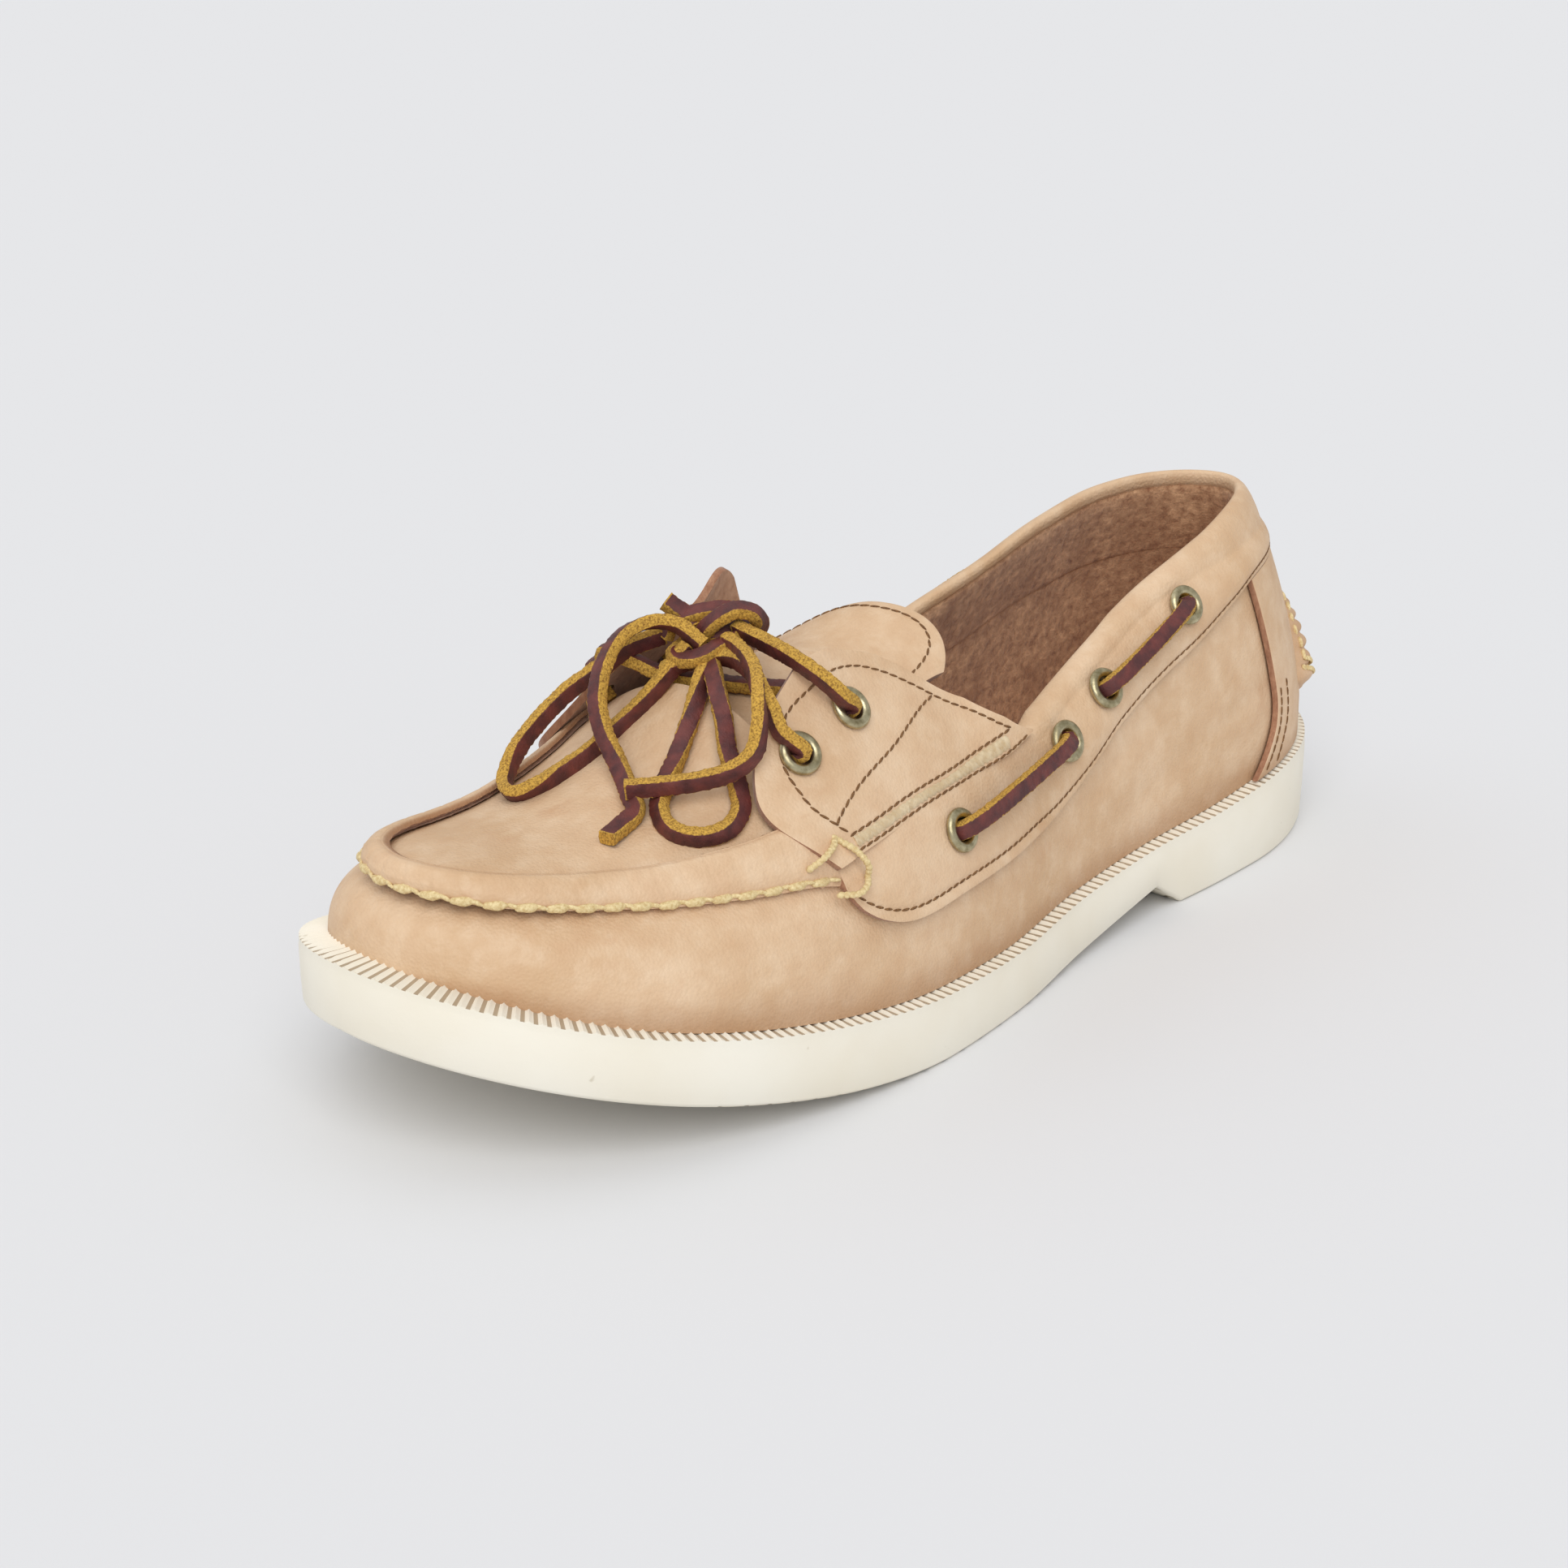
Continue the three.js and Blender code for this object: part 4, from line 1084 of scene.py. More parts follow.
# %% Apron and seam
def apron_point(u, v, lift=0.0):
    rear, front = APRON[0]["at"], APRON_TIP - 0.008
    at = rear + (front - rear) * (1 - (1 - u) ** 1.4)
    lateral = BALL_WIDTH * column(APRON, "lateral", at)
    medial = BALL_WIDTH * column(APRON, "medial", at)
    y = lateral - v * (lateral + medial)
    dip = 0.5 * math.exp(-(min(v, 1 - v) * (lateral + medial) / 5) ** 2)
    return over_top(SOLE_LENGTH * at, y, OUTER_FACE - dip + lift)


apron = panel("apron_plug", 150, 96, apron_point, round_edge=0)
lay(apron, "apron")

LIP = [
    (0.0, 2.7), (0.05, 3.3), (0.1, 3.7), (0.14, 3.62), (0.22, 3.85), (0.35, 3.8), (0.55, 3.3), (0.8, 2.3),
    (0.93, 1.4), (1.0, 0.5),
]
PINCH = 0.22


def lip_height(v):
    for (v0, h0), (v1, h1) in zip(LIP, LIP[1:]):
        if v <= v1:
            return h0 + (h1 - h0) * (v - v0) / (v1 - v0)
    return LIP[-1][1]


def lip_point(u, v, lift=0.0):
    i = min(round(u * (len(seam) - 1)), len(seam) - 1)
    p, way = seam[i], heading(seam, i)
    across = (v - 0.5) * SEAM_WIDTH
    walked = i * SEAM_STEP
    pinch = PINCH * max(math.cos(2 * math.pi * walked / STITCH_PITCH), 0) ** 12 * clamp(0.2 + v)
    ragged = 0.12 * math.sin(walked * 3.1) * math.sin(walked * 1.7) * (v < 0.05)
    offset = OVERLAY_GAP + lip_height(v) - pinch + ragged
    return over_top(p.x - way.y * across, p.y + way.x * across, offset + lift)


def lip_shade(u, v):
    """Painted shade: darker on the raw inner edge, partly its own brown and partly the shadow of the gap
    under it, in the groove beside it and down in the seam.
    """
    raw_edge_and_gap_shade = 1.0 * math.exp(-((v / 0.09) ** 4))
    groove = 0.4 * math.exp(-(((v - 0.14) / 0.02) ** 2))
    seam_shade = 0.25 * math.exp(-(((v - 1) / 0.12) ** 2))
    return raw_edge_and_gap_shade + groove + seam_shade


lip = panel("apron_lip", len(seam) - 1, 44, lip_point, thickness=2.0, round_edge=0, shade=lip_shade)
lay(lip, "apron_seam")

# %% [markdown]
# The collar is one padded piece: stitched down low on the quarter, full over its padding, rolled
# over the top edge and turned down inside. Its grid runs round the heel from one front end to the
# other, and across from the low edge over the top to the lining.

# %% Collar
BAND = table("at low high", """
    0.0    0.755  1.0
    0.08   0.76   1.0
    0.143  0.75   1.0
    0.19   0.71   1.0
    0.253  0.638  1.0
    0.3    0.588  1.0
    0.363  0.505  0.9
    0.411  0.411  0.75
    0.4585 0.348  0.64
    0.514  0.318  0.62
    0.588  0.291  0.59
    0.648  0.267  0.54
    0.675  0.285  0.5
    0.695  0.335  0.47
    0.703  0.395  0.45
""")
BAND_FRONT = BAND[-1]["at"]
ROLL_START = 0.5
SEAM_AT = 0.74
RISE = table("at lateral medial", """
    0.0    7.0  7.0
    0.067  6.2  6.2
    0.126  4.8  5.2
    0.183  3.2  5.4
    0.244  1.6  6.8
    0.3    1.1  8.0
    0.373  1.1  9.0
    0.42   1.3  8.0
    0.455  1.6  5.5
    0.5    1.4  1.4
""")
SHOULDER = 2.5


def round_heel(way, front):
    """Place along the sole of a step round the heel, evenly spaced along the leather."""
    length = SOLE_LENGTH * front - HEEL_LEDGE
    reach = math.sqrt((length + HEEL_TURN) ** 2 - HEEL_TURN ** 2)
    return (HEEL_LEDGE + math.sqrt(HEEL_TURN ** 2 + (way * reach) ** 2) - HEEL_TURN) / SOLE_LENGTH


def band_top(at, side):
    wall = level(TOPLINE, "lateral" if side > 0 else "medial", min(at, TOPLINE[-1]["at"]))
    return min(wall, level(BAND, "high", at))


def collar_profile(v, low, high, rise, at):
    """Offset and height across the collar, from its stitched edge over the top to the lining."""
    soft = (1 - smooth(at, 0.4, 0.5)) * (0.45 + 0.55 * smooth(at, 0.06, 0.2))
    roll = 1 - smooth(at, 0.455, 0.5)
    tuck = 1 - smooth(at, 0.495, 0.53)
    shoulder = high - SHOULDER * roll
    if v < ROLL_START:
        t = v / ROLL_START
        groove = 0.4 * math.exp(-(((high - low) * t - 2.2) / 0.8) ** 2)
        padding = COLLAR_PADDING * soft * math.sin(math.pi * t) ** 0.8
        return OUTER_FACE + padding - groove, low + t * (shoulder - low)
    t = (v - ROLL_START) / (1 - ROLL_START)
    offset = float(np.interp(t, OVER[0], OVER[1]))
    dip, drop = (float(np.interp(t, OVER[0], row)) for row in (OVER[2], OVER[3]))
    height = high + rise - (rise + SHOULDER) * dip - drop
    return OUTER_FACE + tuck * (offset - OUTER_FACE), shoulder + roll * (height - shoulder)


OVER = (
    (0.0, 0.06, 0.12, 0.18, 0.24, 0.3, 0.36, 0.42, 0.48, 0.5, 0.53, 0.6, 0.75, 1.0),
    (2.2, 2.2, 1.95, 1.35, 0.4, -0.8, -1.9, -2.7, -3.1, -2.6, -3.2, -3.6, -3.3, -2.4),
    (1.0, 0.66, 0.36, 0.14, 0.03, 0.0, 0.0, 0.0, 0.0, 0.0, 0.0, 0.0, 0.0, 0.0),
    (0.0, 0.0, 0.0, 0.0, 0.0, 0.1, 0.6, 1.6, 3.2, 3.9, 4.6, 7.0, 13.0, 22.0),
)


def collar_point(u, v, lift=0.0):
    way = 1 - 2 * u
    at = round_heel(way, BAND_FRONT)
    side = 1 if way >= 0 else -1
    low, high = level(BAND, "low", at), band_top(at, side)
    rise = column(RISE, "lateral" if side > 0 else "medial", min(at, RISE[-1]["at"]))
    offset, height = collar_profile(v, low, high, rise, at)
    if v < ROLL_START:
        height = min(height, high)
    return on_wall(SOLE_LENGTH * at, side, height, round(offset + lift, 3))


def collar_inset(u):
    """Share of the collar's outer face at which its stitched row runs, 2.2 mm above its edge."""
    way = 1 - 2 * u
    at = round_heel(way, BAND_FRONT)
    return 2.2 / (band_top(at, 1 if way >= 0 else -1) - level(BAND, "low", at))


def collar_outside(u, v, lift=0.0):
    """The collar's outer face alone, v from its low edge to the top of the wall."""
    return collar_point(u, v * ROLL_START, lift)


collar = grid("collar_leather", 330, 96, collar_point)
finishes(collar, tan, cut_edge, suede)
for face in collar.data.polygons:
    spots = [collar.data.uv_layers[0].data[k].uv.y for k in face.loop_indices]
    face.material_index = 2 if sum(spots) / len(spots) > SEAM_AT + 0.01 else 0
edit(collar, merge_points)
apply(collar, "SOLIDIFY", thickness=1.3 * MM, offset=-1, material_offset=0, material_offset_rim=1)
apply(collar, "BEVEL", width=0.3 * MM, segments=2, limit_method="ANGLE", angle_limit=math.radians(60))

# %% [markdown]
# The flaps that carry the front eyelets are separate overlays. Their front edges lift a little
# off the apron, and their rear ends run down to a point on the collar. The back of the leather
# is rough, and the far flap shows it.

# %% Flaps
EYESTAY = table("at from to low half", """
    0.0   0.703  0.69   0.465  0.178
    0.2   0.675  0.655  0.505  0.181
    0.45  0.62   0.605  0.565  0.193
    0.7   0.555  0.55   0.605  0.232
    0.9   0.503  0.502  0.64   0.272
    1.0   0.476  0.474  0.655  0.291
""")
EYESTAY_LIFT = 9
EYESTAY_NOSE = 12
FLAP_EDGE = table("at bottom top", """
    0.0    0.0    0.76
    0.066  0.0    0.88
    0.163  0.0    0.95
    0.3    0.0    1.0
    0.5    0.0    1.0
    0.6    0.0    0.95
    0.675  0.0    0.86
    0.782 -0.02   0.73
    0.906 -0.07   0.42
    1.0   -0.09  -0.03
""")


def flap_place(side):
    """The flap's surface; v runs from the collar's edge to the throat."""
    def place(u, v, lift=0.0):
        row = {name: column(EYESTAY, name, u) for name in ("from", "to", "low", "half")}
        over_apron = (LEATHER + CLEARANCE) * (1 - smooth(u, 0.05, 0.4))
        offset = OUTER_FACE + over_apron + 1.3 * smooth(u, 0.7, 0.9) + lift
        nose = EYESTAY_NOSE * math.sin(math.pi * clamp(v)) * (1 - u) ** 6
        s = SOLE_LENGTH * (row["from"] * (1 - v) + row["to"] * v) + nose
        c = section(share_of(s), round(offset, 3))
        low = math.asin((TOPLINE_HEIGHT * row["low"] / c["crown"]) ** (c["power"] / 2))
        top = math.acos((BALL_WIDTH * row["half"] / c[side]) ** (c["power"] / 2))
        angle = low + v * (top - low)
        raised = EYESTAY_LIFT * (1 - u) ** 1.2 * v * v
        if side < 0:
            raised += 12 * math.exp(-(((u - 0.46) / 0.13) ** 2)) * max(v, 0) ** 4
        return Vector((
            from_heel(c["s"]),
            c["ridge"] + side * c[side] * math.cos(angle) ** (2 / c["power"]),
            c["base"] + c["crown"] * math.sin(angle) ** (2 / c["power"]) + raised,
        ))

    return place


def flap_point(side):
    """The flap as it is cut, narrowing to a point at the rear."""
    place = flap_place(side)

    def cut_out(u, v, lift=0.0):
        along = [row["at"] for row in FLAP_EDGE]
        bottom, top = (
            float(np.interp(u, along, [row[key] for row in FLAP_EDGE])) for key in ("bottom", "top")
        )
        return place(u, bottom + v * (top - bottom), lift)

    return cut_out


flaps = {label: panel(f"flap_{label}", 110, 60, flap_point(side)) for label, side in SIDES}

# %% [markdown]
# The tongue lies under the flaps, flares up behind them and ends in a broad rounded tip. The
# insole is a plain suede-covered board on the sole.

# %% Tongue and insole
TONGUE_HALF_WIDTH = 21
TONGUE_ROOT = 213
TONGUE_END = 154
TONGUE_SLANT = 9
TONGUE_CORNER = 11
TONGUE_FLARE = 6.5
TONGUE_THICKNESS = 2.4
INSOLE_THICKNESS = 4


def tongue_point(u, v, lift=0.0):
    side = 1 - 2 * v
    end = TONGUE_END - TONGUE_SLANT * side + TONGUE_CORNER * side ** 4
    s = TONGUE_ROOT + (end - TONGUE_ROOT) * u
    flare = TONGUE_FLARE * smooth(u, 0.6, 1) * (1 - 0.4 * side * side)
    ridge = section(share_of(s), 0.0)["ridge"]
    offset = round(-(UPPER_WALL + 8 * CLEARANCE) + flare + lift, 3)
    return over_top(s, ridge + side * TONGUE_HALF_WIDTH, offset)


tongue = panel("tongue_leather", 90, 60, tongue_point, thickness=TONGUE_THICKNESS, round_edge=0.5)
lay(tongue, "tongue")


def insole_point(u, v, lift=0.0):
    a = 0.012 + 0.973 * (0.5 - 0.5 * math.cos(math.pi * u))
    c = section(a, -UPPER_WALL - 2 * CLEARANCE)
    y = c["ridge"] + (c[1] * (1 - v) - c[-1] * v) * 0.985
    return Vector((from_heel(c["s"]), y, c["base"] + INSOLE_THICKNESS + lift))


insole = panel("insole_suede", 60, 16, insole_point, thickness=3.6, round_edge=0.6, inside=0)
finishes(insole, suede)
lay(insole, "insole", slot="lining_suede")

# %% [markdown]
# A leather strip covers the back seam. It widens towards the sole, and its raw edge is thick and
# brown. Over it arches a gathered roll, closed with cream thread like the toe seam.

# %% Heel strip and roll
COUNTER_REACH = 44
COUNTER_FLARE = 12
ROLL_SPAN = 33
ROLL_FOOT = 11.5
ROLL_RISE = 21
ROLL_WIDTH = 8
ROLL_HEIGHT = 4.0
ROLL_SINK = -2.4
ROLL_GATHERS = 20


def counter_point(u, v, lift=0.0):
    way = 1 - 2 * u
    edge = COUNTER_REACH + COUNTER_FLARE * max(1 - v / 0.4, 0) ** 2
    s = HEEL_LEDGE + (edge - HEEL_LEDGE) * way * way
    height = CLEARANCE + v * (level(BAND, "low", s / SOLE_LENGTH) - CLEARANCE - 0.1)
    return on_wall(s, 1 if way >= 0 else -1, height, OUTER_FACE + lift)


# Painted shade: the shade attribute darkens the strip towards the sole.
counter = panel(
    "heel_strip", 130, 50, counter_point, round_edge=0.3,
    shade=lambda u, v: 0.5 * (1 - smooth(v, 0, 0.12)),
)
lay(counter, "heel_counter")


def roll_point(u, v, lift=0.0):
    q = 1 - 2 * u
    slope = -2 * ROLL_RISE * q
    size = math.hypot(ROLL_SPAN, slope)
    across = (v - 0.5) * ROLL_WIDTH
    along = ROLL_SPAN * q - slope / size * across
    height = ROLL_FOOT + ROLL_RISE * (1 - q * q) + ROLL_SPAN / size * across
    radius = BALL_WIDTH * SOLE[1]["half"] - SIDE_LEDGE
    s = HEEL_LEDGE + radius * (1 - math.cos(along / radius))
    gather_wave = 0.74 + 0.26 * abs(math.cos(math.pi * ROLL_GATHERS * (u + 0.03 * v))) ** 0.7
    end = math.sqrt(clamp(1 - (1 - min(u, 1 - u, 0.05) / 0.05) ** 2))
    bump = ROLL_SINK + (ROLL_HEIGHT - ROLL_SINK) * math.sin(math.pi * clamp(v)) ** 0.55 * gather_wave * end
    return on_wall(s, 1 if along >= 0 else -1, height, OUTER_FACE + CLEARANCE + bump + lift)


# Painted shade: the shade attribute darkens the whole roll evenly.
heel_roll = panel(
    "heel_roll_gathered", 220, 24, roll_point, thickness=0.3, round_edge=0, shade=lambda u, v: 0.3,
)
lay(heel_roll, "heel_roll")

# %% [markdown]
# An eyelet is a rolled brass ring with a short barrel. Its profile is spun round once, and a copy
# goes to each place. The solids say where: the thin direction of an eyelet's points is its axis.

# %% Eyelets
EYELET_PROFILE = [
    (3.1, -1.6), (3.1, 0.0), (4.7, 0.05), (4.75, 0.45), (4.5, 0.95), (4.0, 1.28), (3.4, 1.3), (2.85, 1.05),
    (2.5, 0.5), (2.45, -1.6),
]


def spun_ring(name, profile, steps=40):
    bpy.ops.mesh.primitive_circle_add(vertices=len(profile), radius=1)
    piece = bpy.context.object
    piece.name = piece.data.name = name
    for vertex, (reach, rise) in zip(piece.data.vertices, profile):
        vertex.co = Vector((reach, 0, rise)) * MM
    edit(
        piece,
        lambda: bpy.ops.mesh.spin(steps=steps, angle=2 * math.pi, center=(0, 0, 0), axis=(0, 0, 1)),
        lambda: bpy.ops.mesh.select_all(action="SELECT"),
        merge_points,
        lambda: bpy.ops.mesh.normals_make_consistent(inside=False),
    )
    return piece


ring = spun_ring("eyelet_model", EYELET_PROFILE)
for node in eyelet_names:
    eyelet = ring.copy()
    eyelet.data = ring.data.copy()
    bpy.context.collection.objects.link(eyelet)
    eyelet.name = eyelet.data.name = node + "_ring"
    eyelet.data.transform(seats[node])
    finishes(eyelet, brass)
    lay(eyelet, node, slot="antique_brass", angle=60)
bpy.data.objects.remove(ring)


def punch(piece, nodes, depth):
    """Cuts the eyelets' holes through a panel."""
    drills = []
    for node in nodes:
        bpy.ops.mesh.primitive_cylinder_add(vertices=24, radius=2.9 * MM, depth=depth * MM)
        drill = bpy.context.object
        drill.data.transform(seats[node])
        drills.append(drill)
    bpy.ops.object.select_all(action="DESELECT")
    for drill in drills:
        drill.select_set(True)
    bpy.context.view_layer.objects.active = drills[0]
    bpy.ops.object.join()
    apply(piece, "BOOLEAN", operation="DIFFERENCE", object=drills[0], solver="EXACT")
    bpy.data.objects.remove(drills[0])


band_nodes = [n for n in eyelet_names if not n.endswith(("front", "rear"))]
punch(collar, band_nodes, 12)
punch(shell, band_nodes, 12)
lay(collar, "collar_band", "collar_roll")
lay(shell, "upper")
for label, side in SIDES:
    punch(flaps[label], [f"eyelet_{label}_front", f"eyelet_{label}_rear"], 9)
    lay(flaps[label], f"eyestay_{label}")

# %% [markdown]
# Along each side the lace shows twice outside the collar. It comes up out of one eyelet, lies on
# the padding and goes down into the next. Two more lengths cross from the front eyelets over the
# flap's corner and the tongue.


# %% Side laces and crossings
def side_lace(label, side, first, second):
    start, end = seats[f"eyelet_{label}_{first}"], seats[f"eyelet_{label}_{second}"]
    out = [(m.to_3x3() @ Vector((0, 0, 1))).normalized() for m in (start, end)]
    a, b = start.translation / MM, end.translation / MM
    ahead = (b - a).normalized()
    lift = 2.6 if side > 0 else 1.8
    points = [
        a - out[0] * 4 - ahead * 0.4,
        a + out[0] * 0.6,
        a + out[0] * lift + ahead * 3.4,
        a.lerp(b, 0.5) + (out[0] + out[1]).normalized() * (lift + 1.0),
        b + out[1] * lift - ahead * 3.4,
        b + out[1] * 0.6,
        b - out[1] * 4 + ahead * 0.4,
    ]
    turns = (-60, -65, -70) if first == "one" else (-62, -85, -115)
    return thong(f"side_lace_{label}_{first}_thong", points, [side * t for t in turns])[0]


for label, side in SIDES:
    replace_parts(side_lace(label, side, "one", "two"), f"side_lace_{label}_front")
    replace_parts(side_lace(label, side, "three", "four"), f"side_lace_{label}_rear")

CROSSING_MEDIAL = [
    (59, -27, 64.7), (60, -30.4, 68.3), (61, -30.4, 71.3), (62, -26.6, 74.7), (63.9, -22.2, 77.9),
    (62.3, -17, 76.9), (58.5, -9, 74.1), (54, 0, 73.9), (49, 9, 73.7), (45.5, 15, 73.7), (42, 20, 72.7),
]
C = "eyelet_lateral_front"
CROSSING_LATERAL = [
    eyelet_place(C, -7), eyelet_place(C, -2.5), eyelet_place(C, 1.2), seen(13.8, -20.5, 26.5),
    *seen_route("12 -16 25.5, 10 -12 23.5, 7.5 -7.5 16, 3 -5 8, -3 -5 5, -9 -7 3"),
    (44, -18, 73), (42, -21, 72),
]
crossings = [
    thong("crossing_lateral", CROSSING_LATERAL, (20, 30))[0],
    thong("crossing_medial", CROSSING_MEDIAL, (20, 40))[0],
]
for crossing in crossings:
    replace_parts(crossing, "lace_crossings")

# %% [markdown]
# Stitches are small capsules laid end to end along lines on the panels. One is modelled, and its
# copies make one mesh for each seam. The toe seam's waxed thread is thick and twisted, so its
# stitch is a fat spindle with two strands wound round each other.


# %% Helpers for stitches
def capsule(length, width, depth, strands=0.0):
    """Points and faces of one stitch, along X, with strands twisted round it if asked."""
    segments, rings = (10, 9) if strands else (6, 5)
    bpy.ops.mesh.primitive_uv_sphere_add(segments=segments, ring_count=rings, radius=0.5)
    model = bpy.context.object
    points = []
    for vertex in model.data.vertices:
        along, y, z = vertex.co.z * 2, vertex.co.x * 2, -vertex.co.y * 2
        angle = math.atan2(z, y)
        twist = 1 + 0.16 * strands * math.cos(2 * angle - 5 * along)
        points.append((along * length / 2, y * width / 2 * twist, z * depth / 2 * twist))
    faces = [tuple(face.vertices) for face in model.data.polygons]
    bpy.data.objects.remove(model)
    return np.array(points), faces


def stitches(name, model, lines, material, slot="tan_leather", tilt=0.0):
    """One mesh of stitches; each line is a list of (point, outward way) pairs, one to a stitch."""
    points, faces = model
    places, every = [], []
    for line in lines:
        for i, (spot, out) in enumerate(line):
            ahead = (line[min(i + 1, len(line) - 1)][0] - line[max(i - 1, 0)][0]).normalized()
            across = out.cross(ahead).normalized()
            up = ahead.cross(across)
            straight, slant = math.cos(tilt), math.sin(tilt)
            ahead, across = ahead * straight + across * slant, across * straight - ahead * slant
            turn = np.array([ahead, across, up])
            start = len(places) * len(points)
            places.append(points @ turn + np.array(spot))
            every += [tuple(start + k for k in face) for face in faces]
    mesh = bpy.data.meshes.new(name)
    mesh.from_pydata((np.concatenate(places) * MM).tolist(), [], every)
    piece = bpy.data.objects.new(name, mesh)
    bpy.context.collection.objects.link(piece)
    edit(piece, lambda: bpy.ops.mesh.normals_make_consistent(inside=False))
    finishes(piece, material)
    return lay(piece, slot=slot, angle=80)


def line_on(place, corners, pitch, lift=0.1, curved=True):
    """Spots for stitches on a panel, along a line through corners given as its u and v."""
    if curved:
        flat = route([(u * 100, v * 100, 0) for u, v in corners], 0.25)
        corners = [(p.x / 100, p.y / 100) for p in flat]
    spots = [place(u, v, lift) for u, v in corners]
    outs = [(place(u, v, lift + 0.5) - spot).normalized() for (u, v), spot in zip(corners, spots)]
    walked = np.concatenate([[0], np.cumsum([(b - a).length for a, b in zip(spots, spots[1:])])])
    line = []
    for goal in np.arange(pitch / 2, walked[-1], pitch):
        i = max(int(np.searchsorted(walked, goal)), 1)
        t = (goal - walked[i - 1]) / (walked[i] - walked[i - 1])
        line.append((spots[i - 1].lerp(spots[i], t), outs[i - 1].lerp(outs[i], t).normalized()))
    return line


# %% Toe seam thread
fat_stitch = capsule(5.0, 2.0, 1.8, strands=0.8)
thin_stitch = capsule(3.4, 1.0, 1.0)
fat_line, thin_line = [], []
for number in range(round((len(seam) - 1) * SEAM_STEP / (STITCH_PITCH / 2))):
    u = number * STITCH_PITCH / 2 / ((len(seam) - 1) * SEAM_STEP)
    if 0.012 < u < 0.988:
        spot = lip_point(u, 0.97, 0.2)
        out = (lip_point(u, 0.97, 0.8) - spot).normalized()
        (thin_line if number % 2 else fat_line).append((spot, out))
stitches("seam_thread", fat_stitch, [fat_line], seam_thread, tilt=0.16)
stitches("seam_thread_links", thin_stitch, [thin_line], seam_thread, tilt=-0.35)


def tack(spots):
    """A waxed thread laid over the leather between places given as s, height and lift on the outer wall."""
    places = [on_wall(s, 1, height, round(OUTER_FACE + LEATHER + lift, 2)) for s, height, lift in spots]
    return [(spot, SHOWN) for spot in route(places, TACK_STEP)]


tack_lines = [tack(spots) for spots in TACKS]
stitches("corner_tack", capsule(1.9, 1.4, 1.1, strands=0.3), tack_lines, seam_thread, tilt=0.1)

# %% [markdown]
# The machine seams are rows of short capsules, one to a stitch, along lines drawn on the panels.
# A texture would be lighter, but it couldn't stand proud of the leather, and its rows wouldn't
# follow a panel whose size is changed.

# %% Machine stitching
fine_stitch = capsule(2.35, 0.6, 0.5)
FINE_PITCH = 2.4
FLAP_SEAMS = {
    "front": [(0.15, 0.13), (0.1, 0.3), (0.085, 0.45), (0.07, 0.68), (0.1, 0.79), (0.2, 0.836)],
    "top": [
        (0.2, 0.836), (0.284, 0.878), (0.4, 0.9), (0.503, 0.873), (0.6, 0.81), (0.675, 0.734),
        (0.782, 0.596), (0.906, 0.257),
    ],
    "slant": [(0.666, 0.73), (0.449, 0.423), (0.25, 0.303), (0.132, 0.196)],
    "upper_row": [(0.15, 0.11), (0.373, 0.119), (0.614, 0.139), (0.903, 0.229)],
    "lower_row": [(0.148, 0.023), (0.431, 0.02), (0.672, 0.012), (0.84, -0.02), (0.96, -0.04)],
}
flap_lines = [
    line_on(flap_place(side), seam, FINE_PITCH, lift=0.08)
    for label, side in SIDES for seam in FLAP_SEAMS.values()
]
stitches("flap_stitching", fine_stitch, flap_lines, brown_thread, tilt=0.14)


def strip_point(side):
    """The rough edge of hide that shows between the two rows along the flap's foot."""
    place = flap_place(side)

    def strip(u, v, lift=0.0):
        along = 0.16 + 0.72 * u
        low = 0.04 - 0.03 * smooth(along, 0.6, 0.95)
        high = 0.1 + 0.1 * smooth(along, 0.55, 0.95)
        rag = 0.004 * math.sin(along * 260) * math.sin(along * 97)
        crown = 0.35 * math.sin(math.pi * clamp(v)) + 0.12 * math.sin(along * 310 + v * 9)
        return place(along, low + v * (high - low) + rag, 0.12 + crown + lift)

    return strip


for label, side in SIDES:
    strip = panel(f"rough_strip_{label}", 150, 8, strip_point(side), thickness=0.5, round_edge=0, inside=0)
    finishes(strip, piping_leather)
    lay(strip)

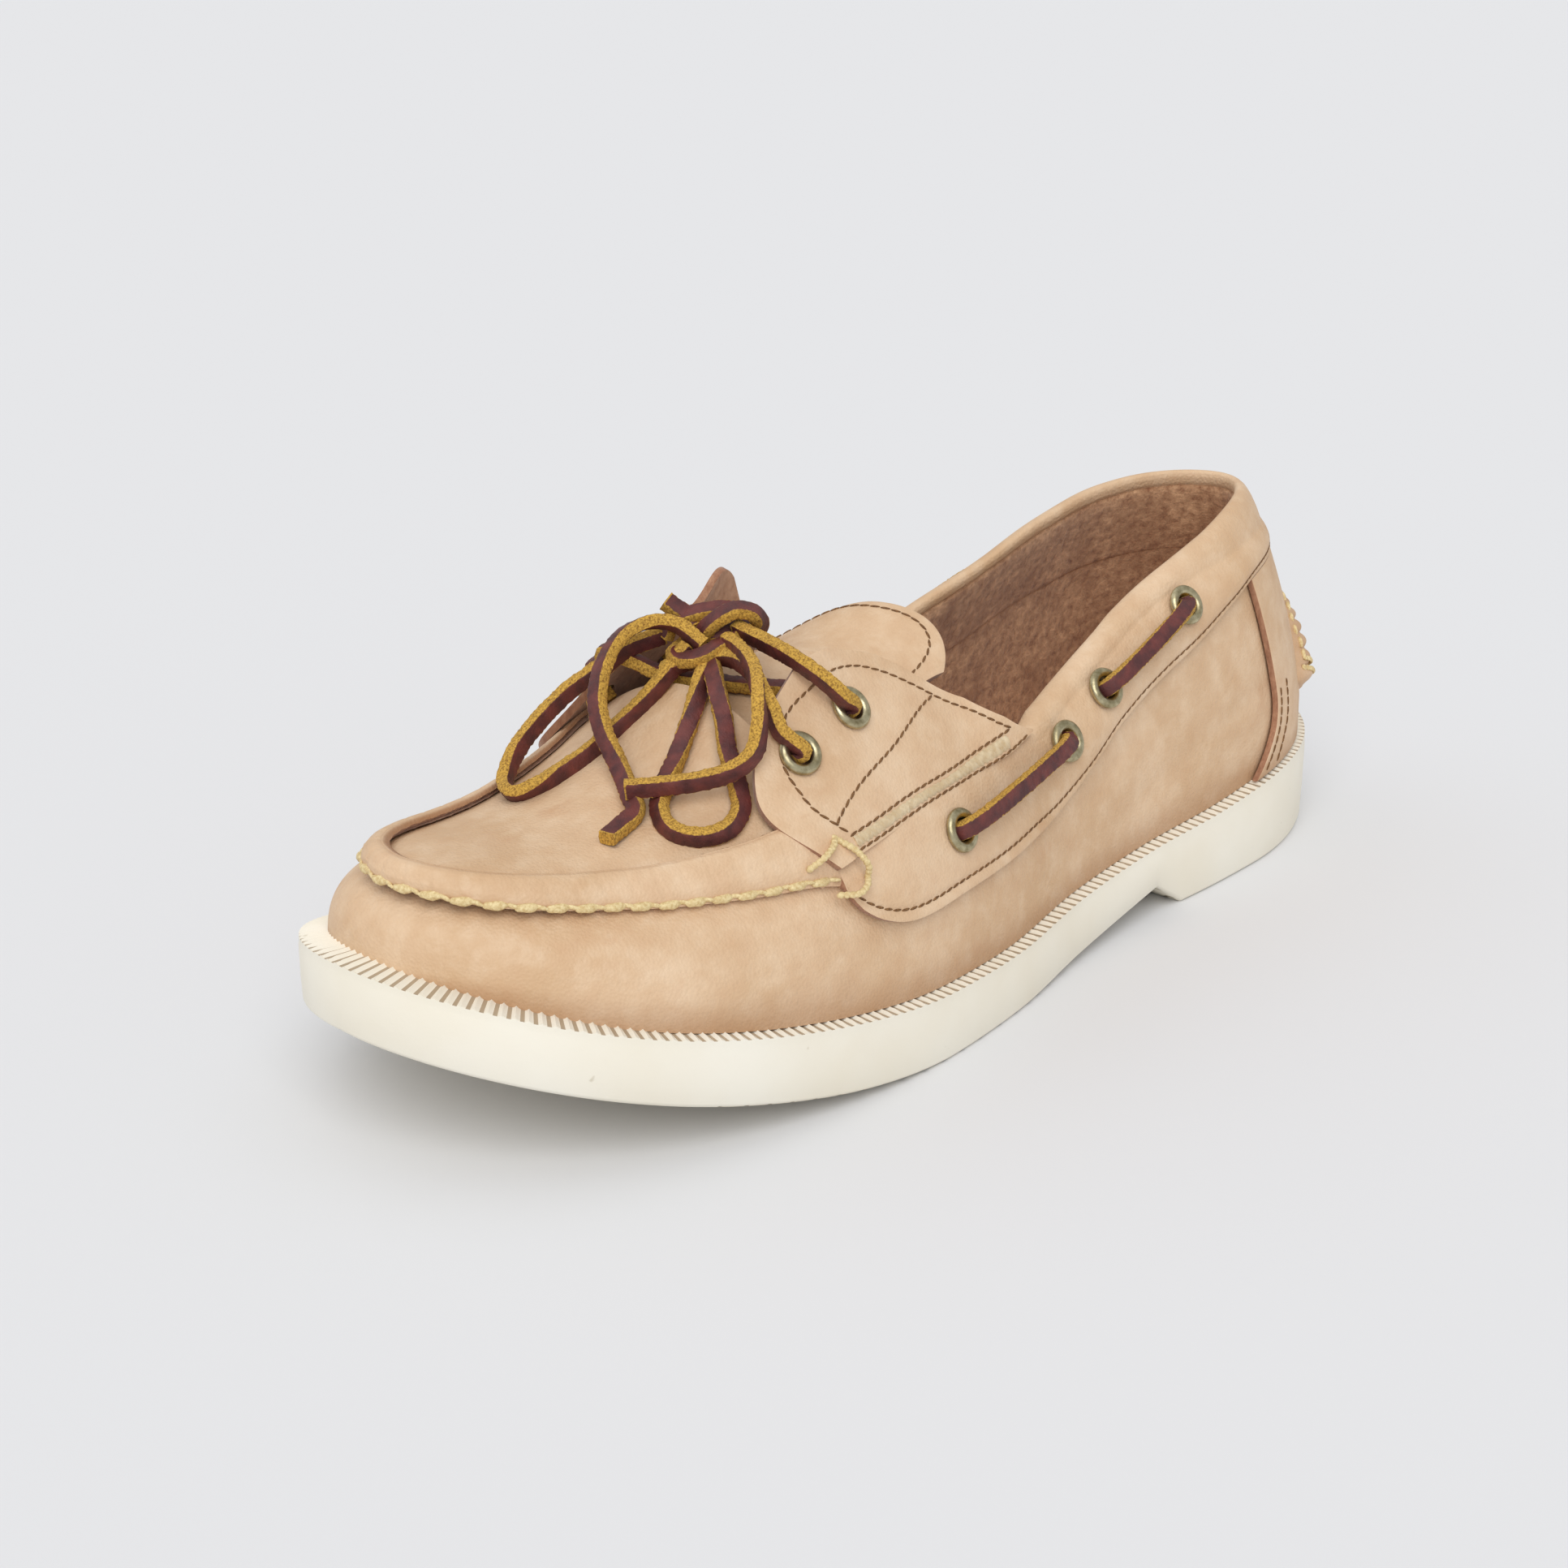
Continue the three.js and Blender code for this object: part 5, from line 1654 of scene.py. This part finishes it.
collar_row = [(k / 400, collar_inset(k / 400)) for k in range(2, 399)]
collar_line = line_on(collar_outside, collar_row, FINE_PITCH, lift=0.05, curved=False)
stitches("collar_stitching", fine_stitch, [collar_line], brown_thread, tilt=0.14)
TONGUE_SEAM = [
    (0.2, 0.06), (0.8, 0.06), (0.93, 0.12), (0.95, 0.5), (0.93, 0.88), (0.8, 0.94), (0.2, 0.94),
]
tongue_line = line_on(tongue_point, TONGUE_SEAM, FINE_PITCH)
counter_lines = [
    line_on(counter_point, [(u, 0.03), (u, 0.2), (u, 0.4)], FINE_PITCH)
    for u in (0.014, 0.047, 0.953, 0.986)
]
stitches("tongue_stitching", fine_stitch, [tongue_line], brown_thread, tilt=0.14)
stitches("heel_stitching", fine_stitch, counter_lines, brown_thread, tilt=0.14)
roll_stitch = capsule(3.0, 1.5, 1.3)
roll_lines = [
    line_on(roll_point, [(k / 100, v) for k in range(6, 95)], 3.9, lift=0.1, curved=False)
    for v in (0.16, 0.84)
]
stitches("heel_roll_thread", roll_stitch, roll_lines, seam_thread, tilt=0.2)
end_bands = [
    [
        (roll_point(u, k / 12, 0.35), roll_point(u, k / 12, 1.35) - roll_point(u, k / 12, 0.35))
        for k in range(2, 11)
    ]
    for u in (0.045, 0.07, 0.93, 0.955)
]
stitches("heel_roll_ends", capsule(1.8, 1.5, 0.8, strands=0.3), end_bands, seam_thread, tilt=0)

# %% [markdown]
# The floor is a plain pale sweep. The lamps are large, so the shadow under the shoe is soft.

# %% Floor and light
bpy.ops.mesh.primitive_plane_add(size=80)
floor = bpy.context.object
floor.name = "floor"
floor_finish = Finish("floor_paper", 1.0)
floor_finish.shader.inputs["Base Color"].default_value = tone(228, 228, 229)
floor_finish.shader.inputs["Specular IOR Level"].default_value = 0
finishes(floor, floor_finish.material)

world = bpy.data.worlds.new("studio")
bpy.context.scene.world = world
world.use_nodes = True
world.node_tree.nodes["Background"].inputs["Color"].default_value = (0.97, 0.98, 1.0, 1)
world.node_tree.nodes["Background"].inputs["Strength"].default_value = 0.6


def lamp(name, way, strength, spread):
    """A broad, even lamp far off in the direction given."""
    bpy.ops.object.light_add(type="SUN", location=Vector(way))
    light = bpy.context.object
    light.name = name
    light.data.energy = strength
    light.data.angle = math.radians(spread)
    light.rotation_euler = Vector(way).to_track_quat("Z", "Y").to_euler()


lamp("front_lamp", (0.62, 0.6, 0.85), 1.55, 50)
lamp("top_lamp", (0.3, -0.6, 1.0), 0.35, 70)
bpy.context.scene.view_settings.view_transform = "Standard"
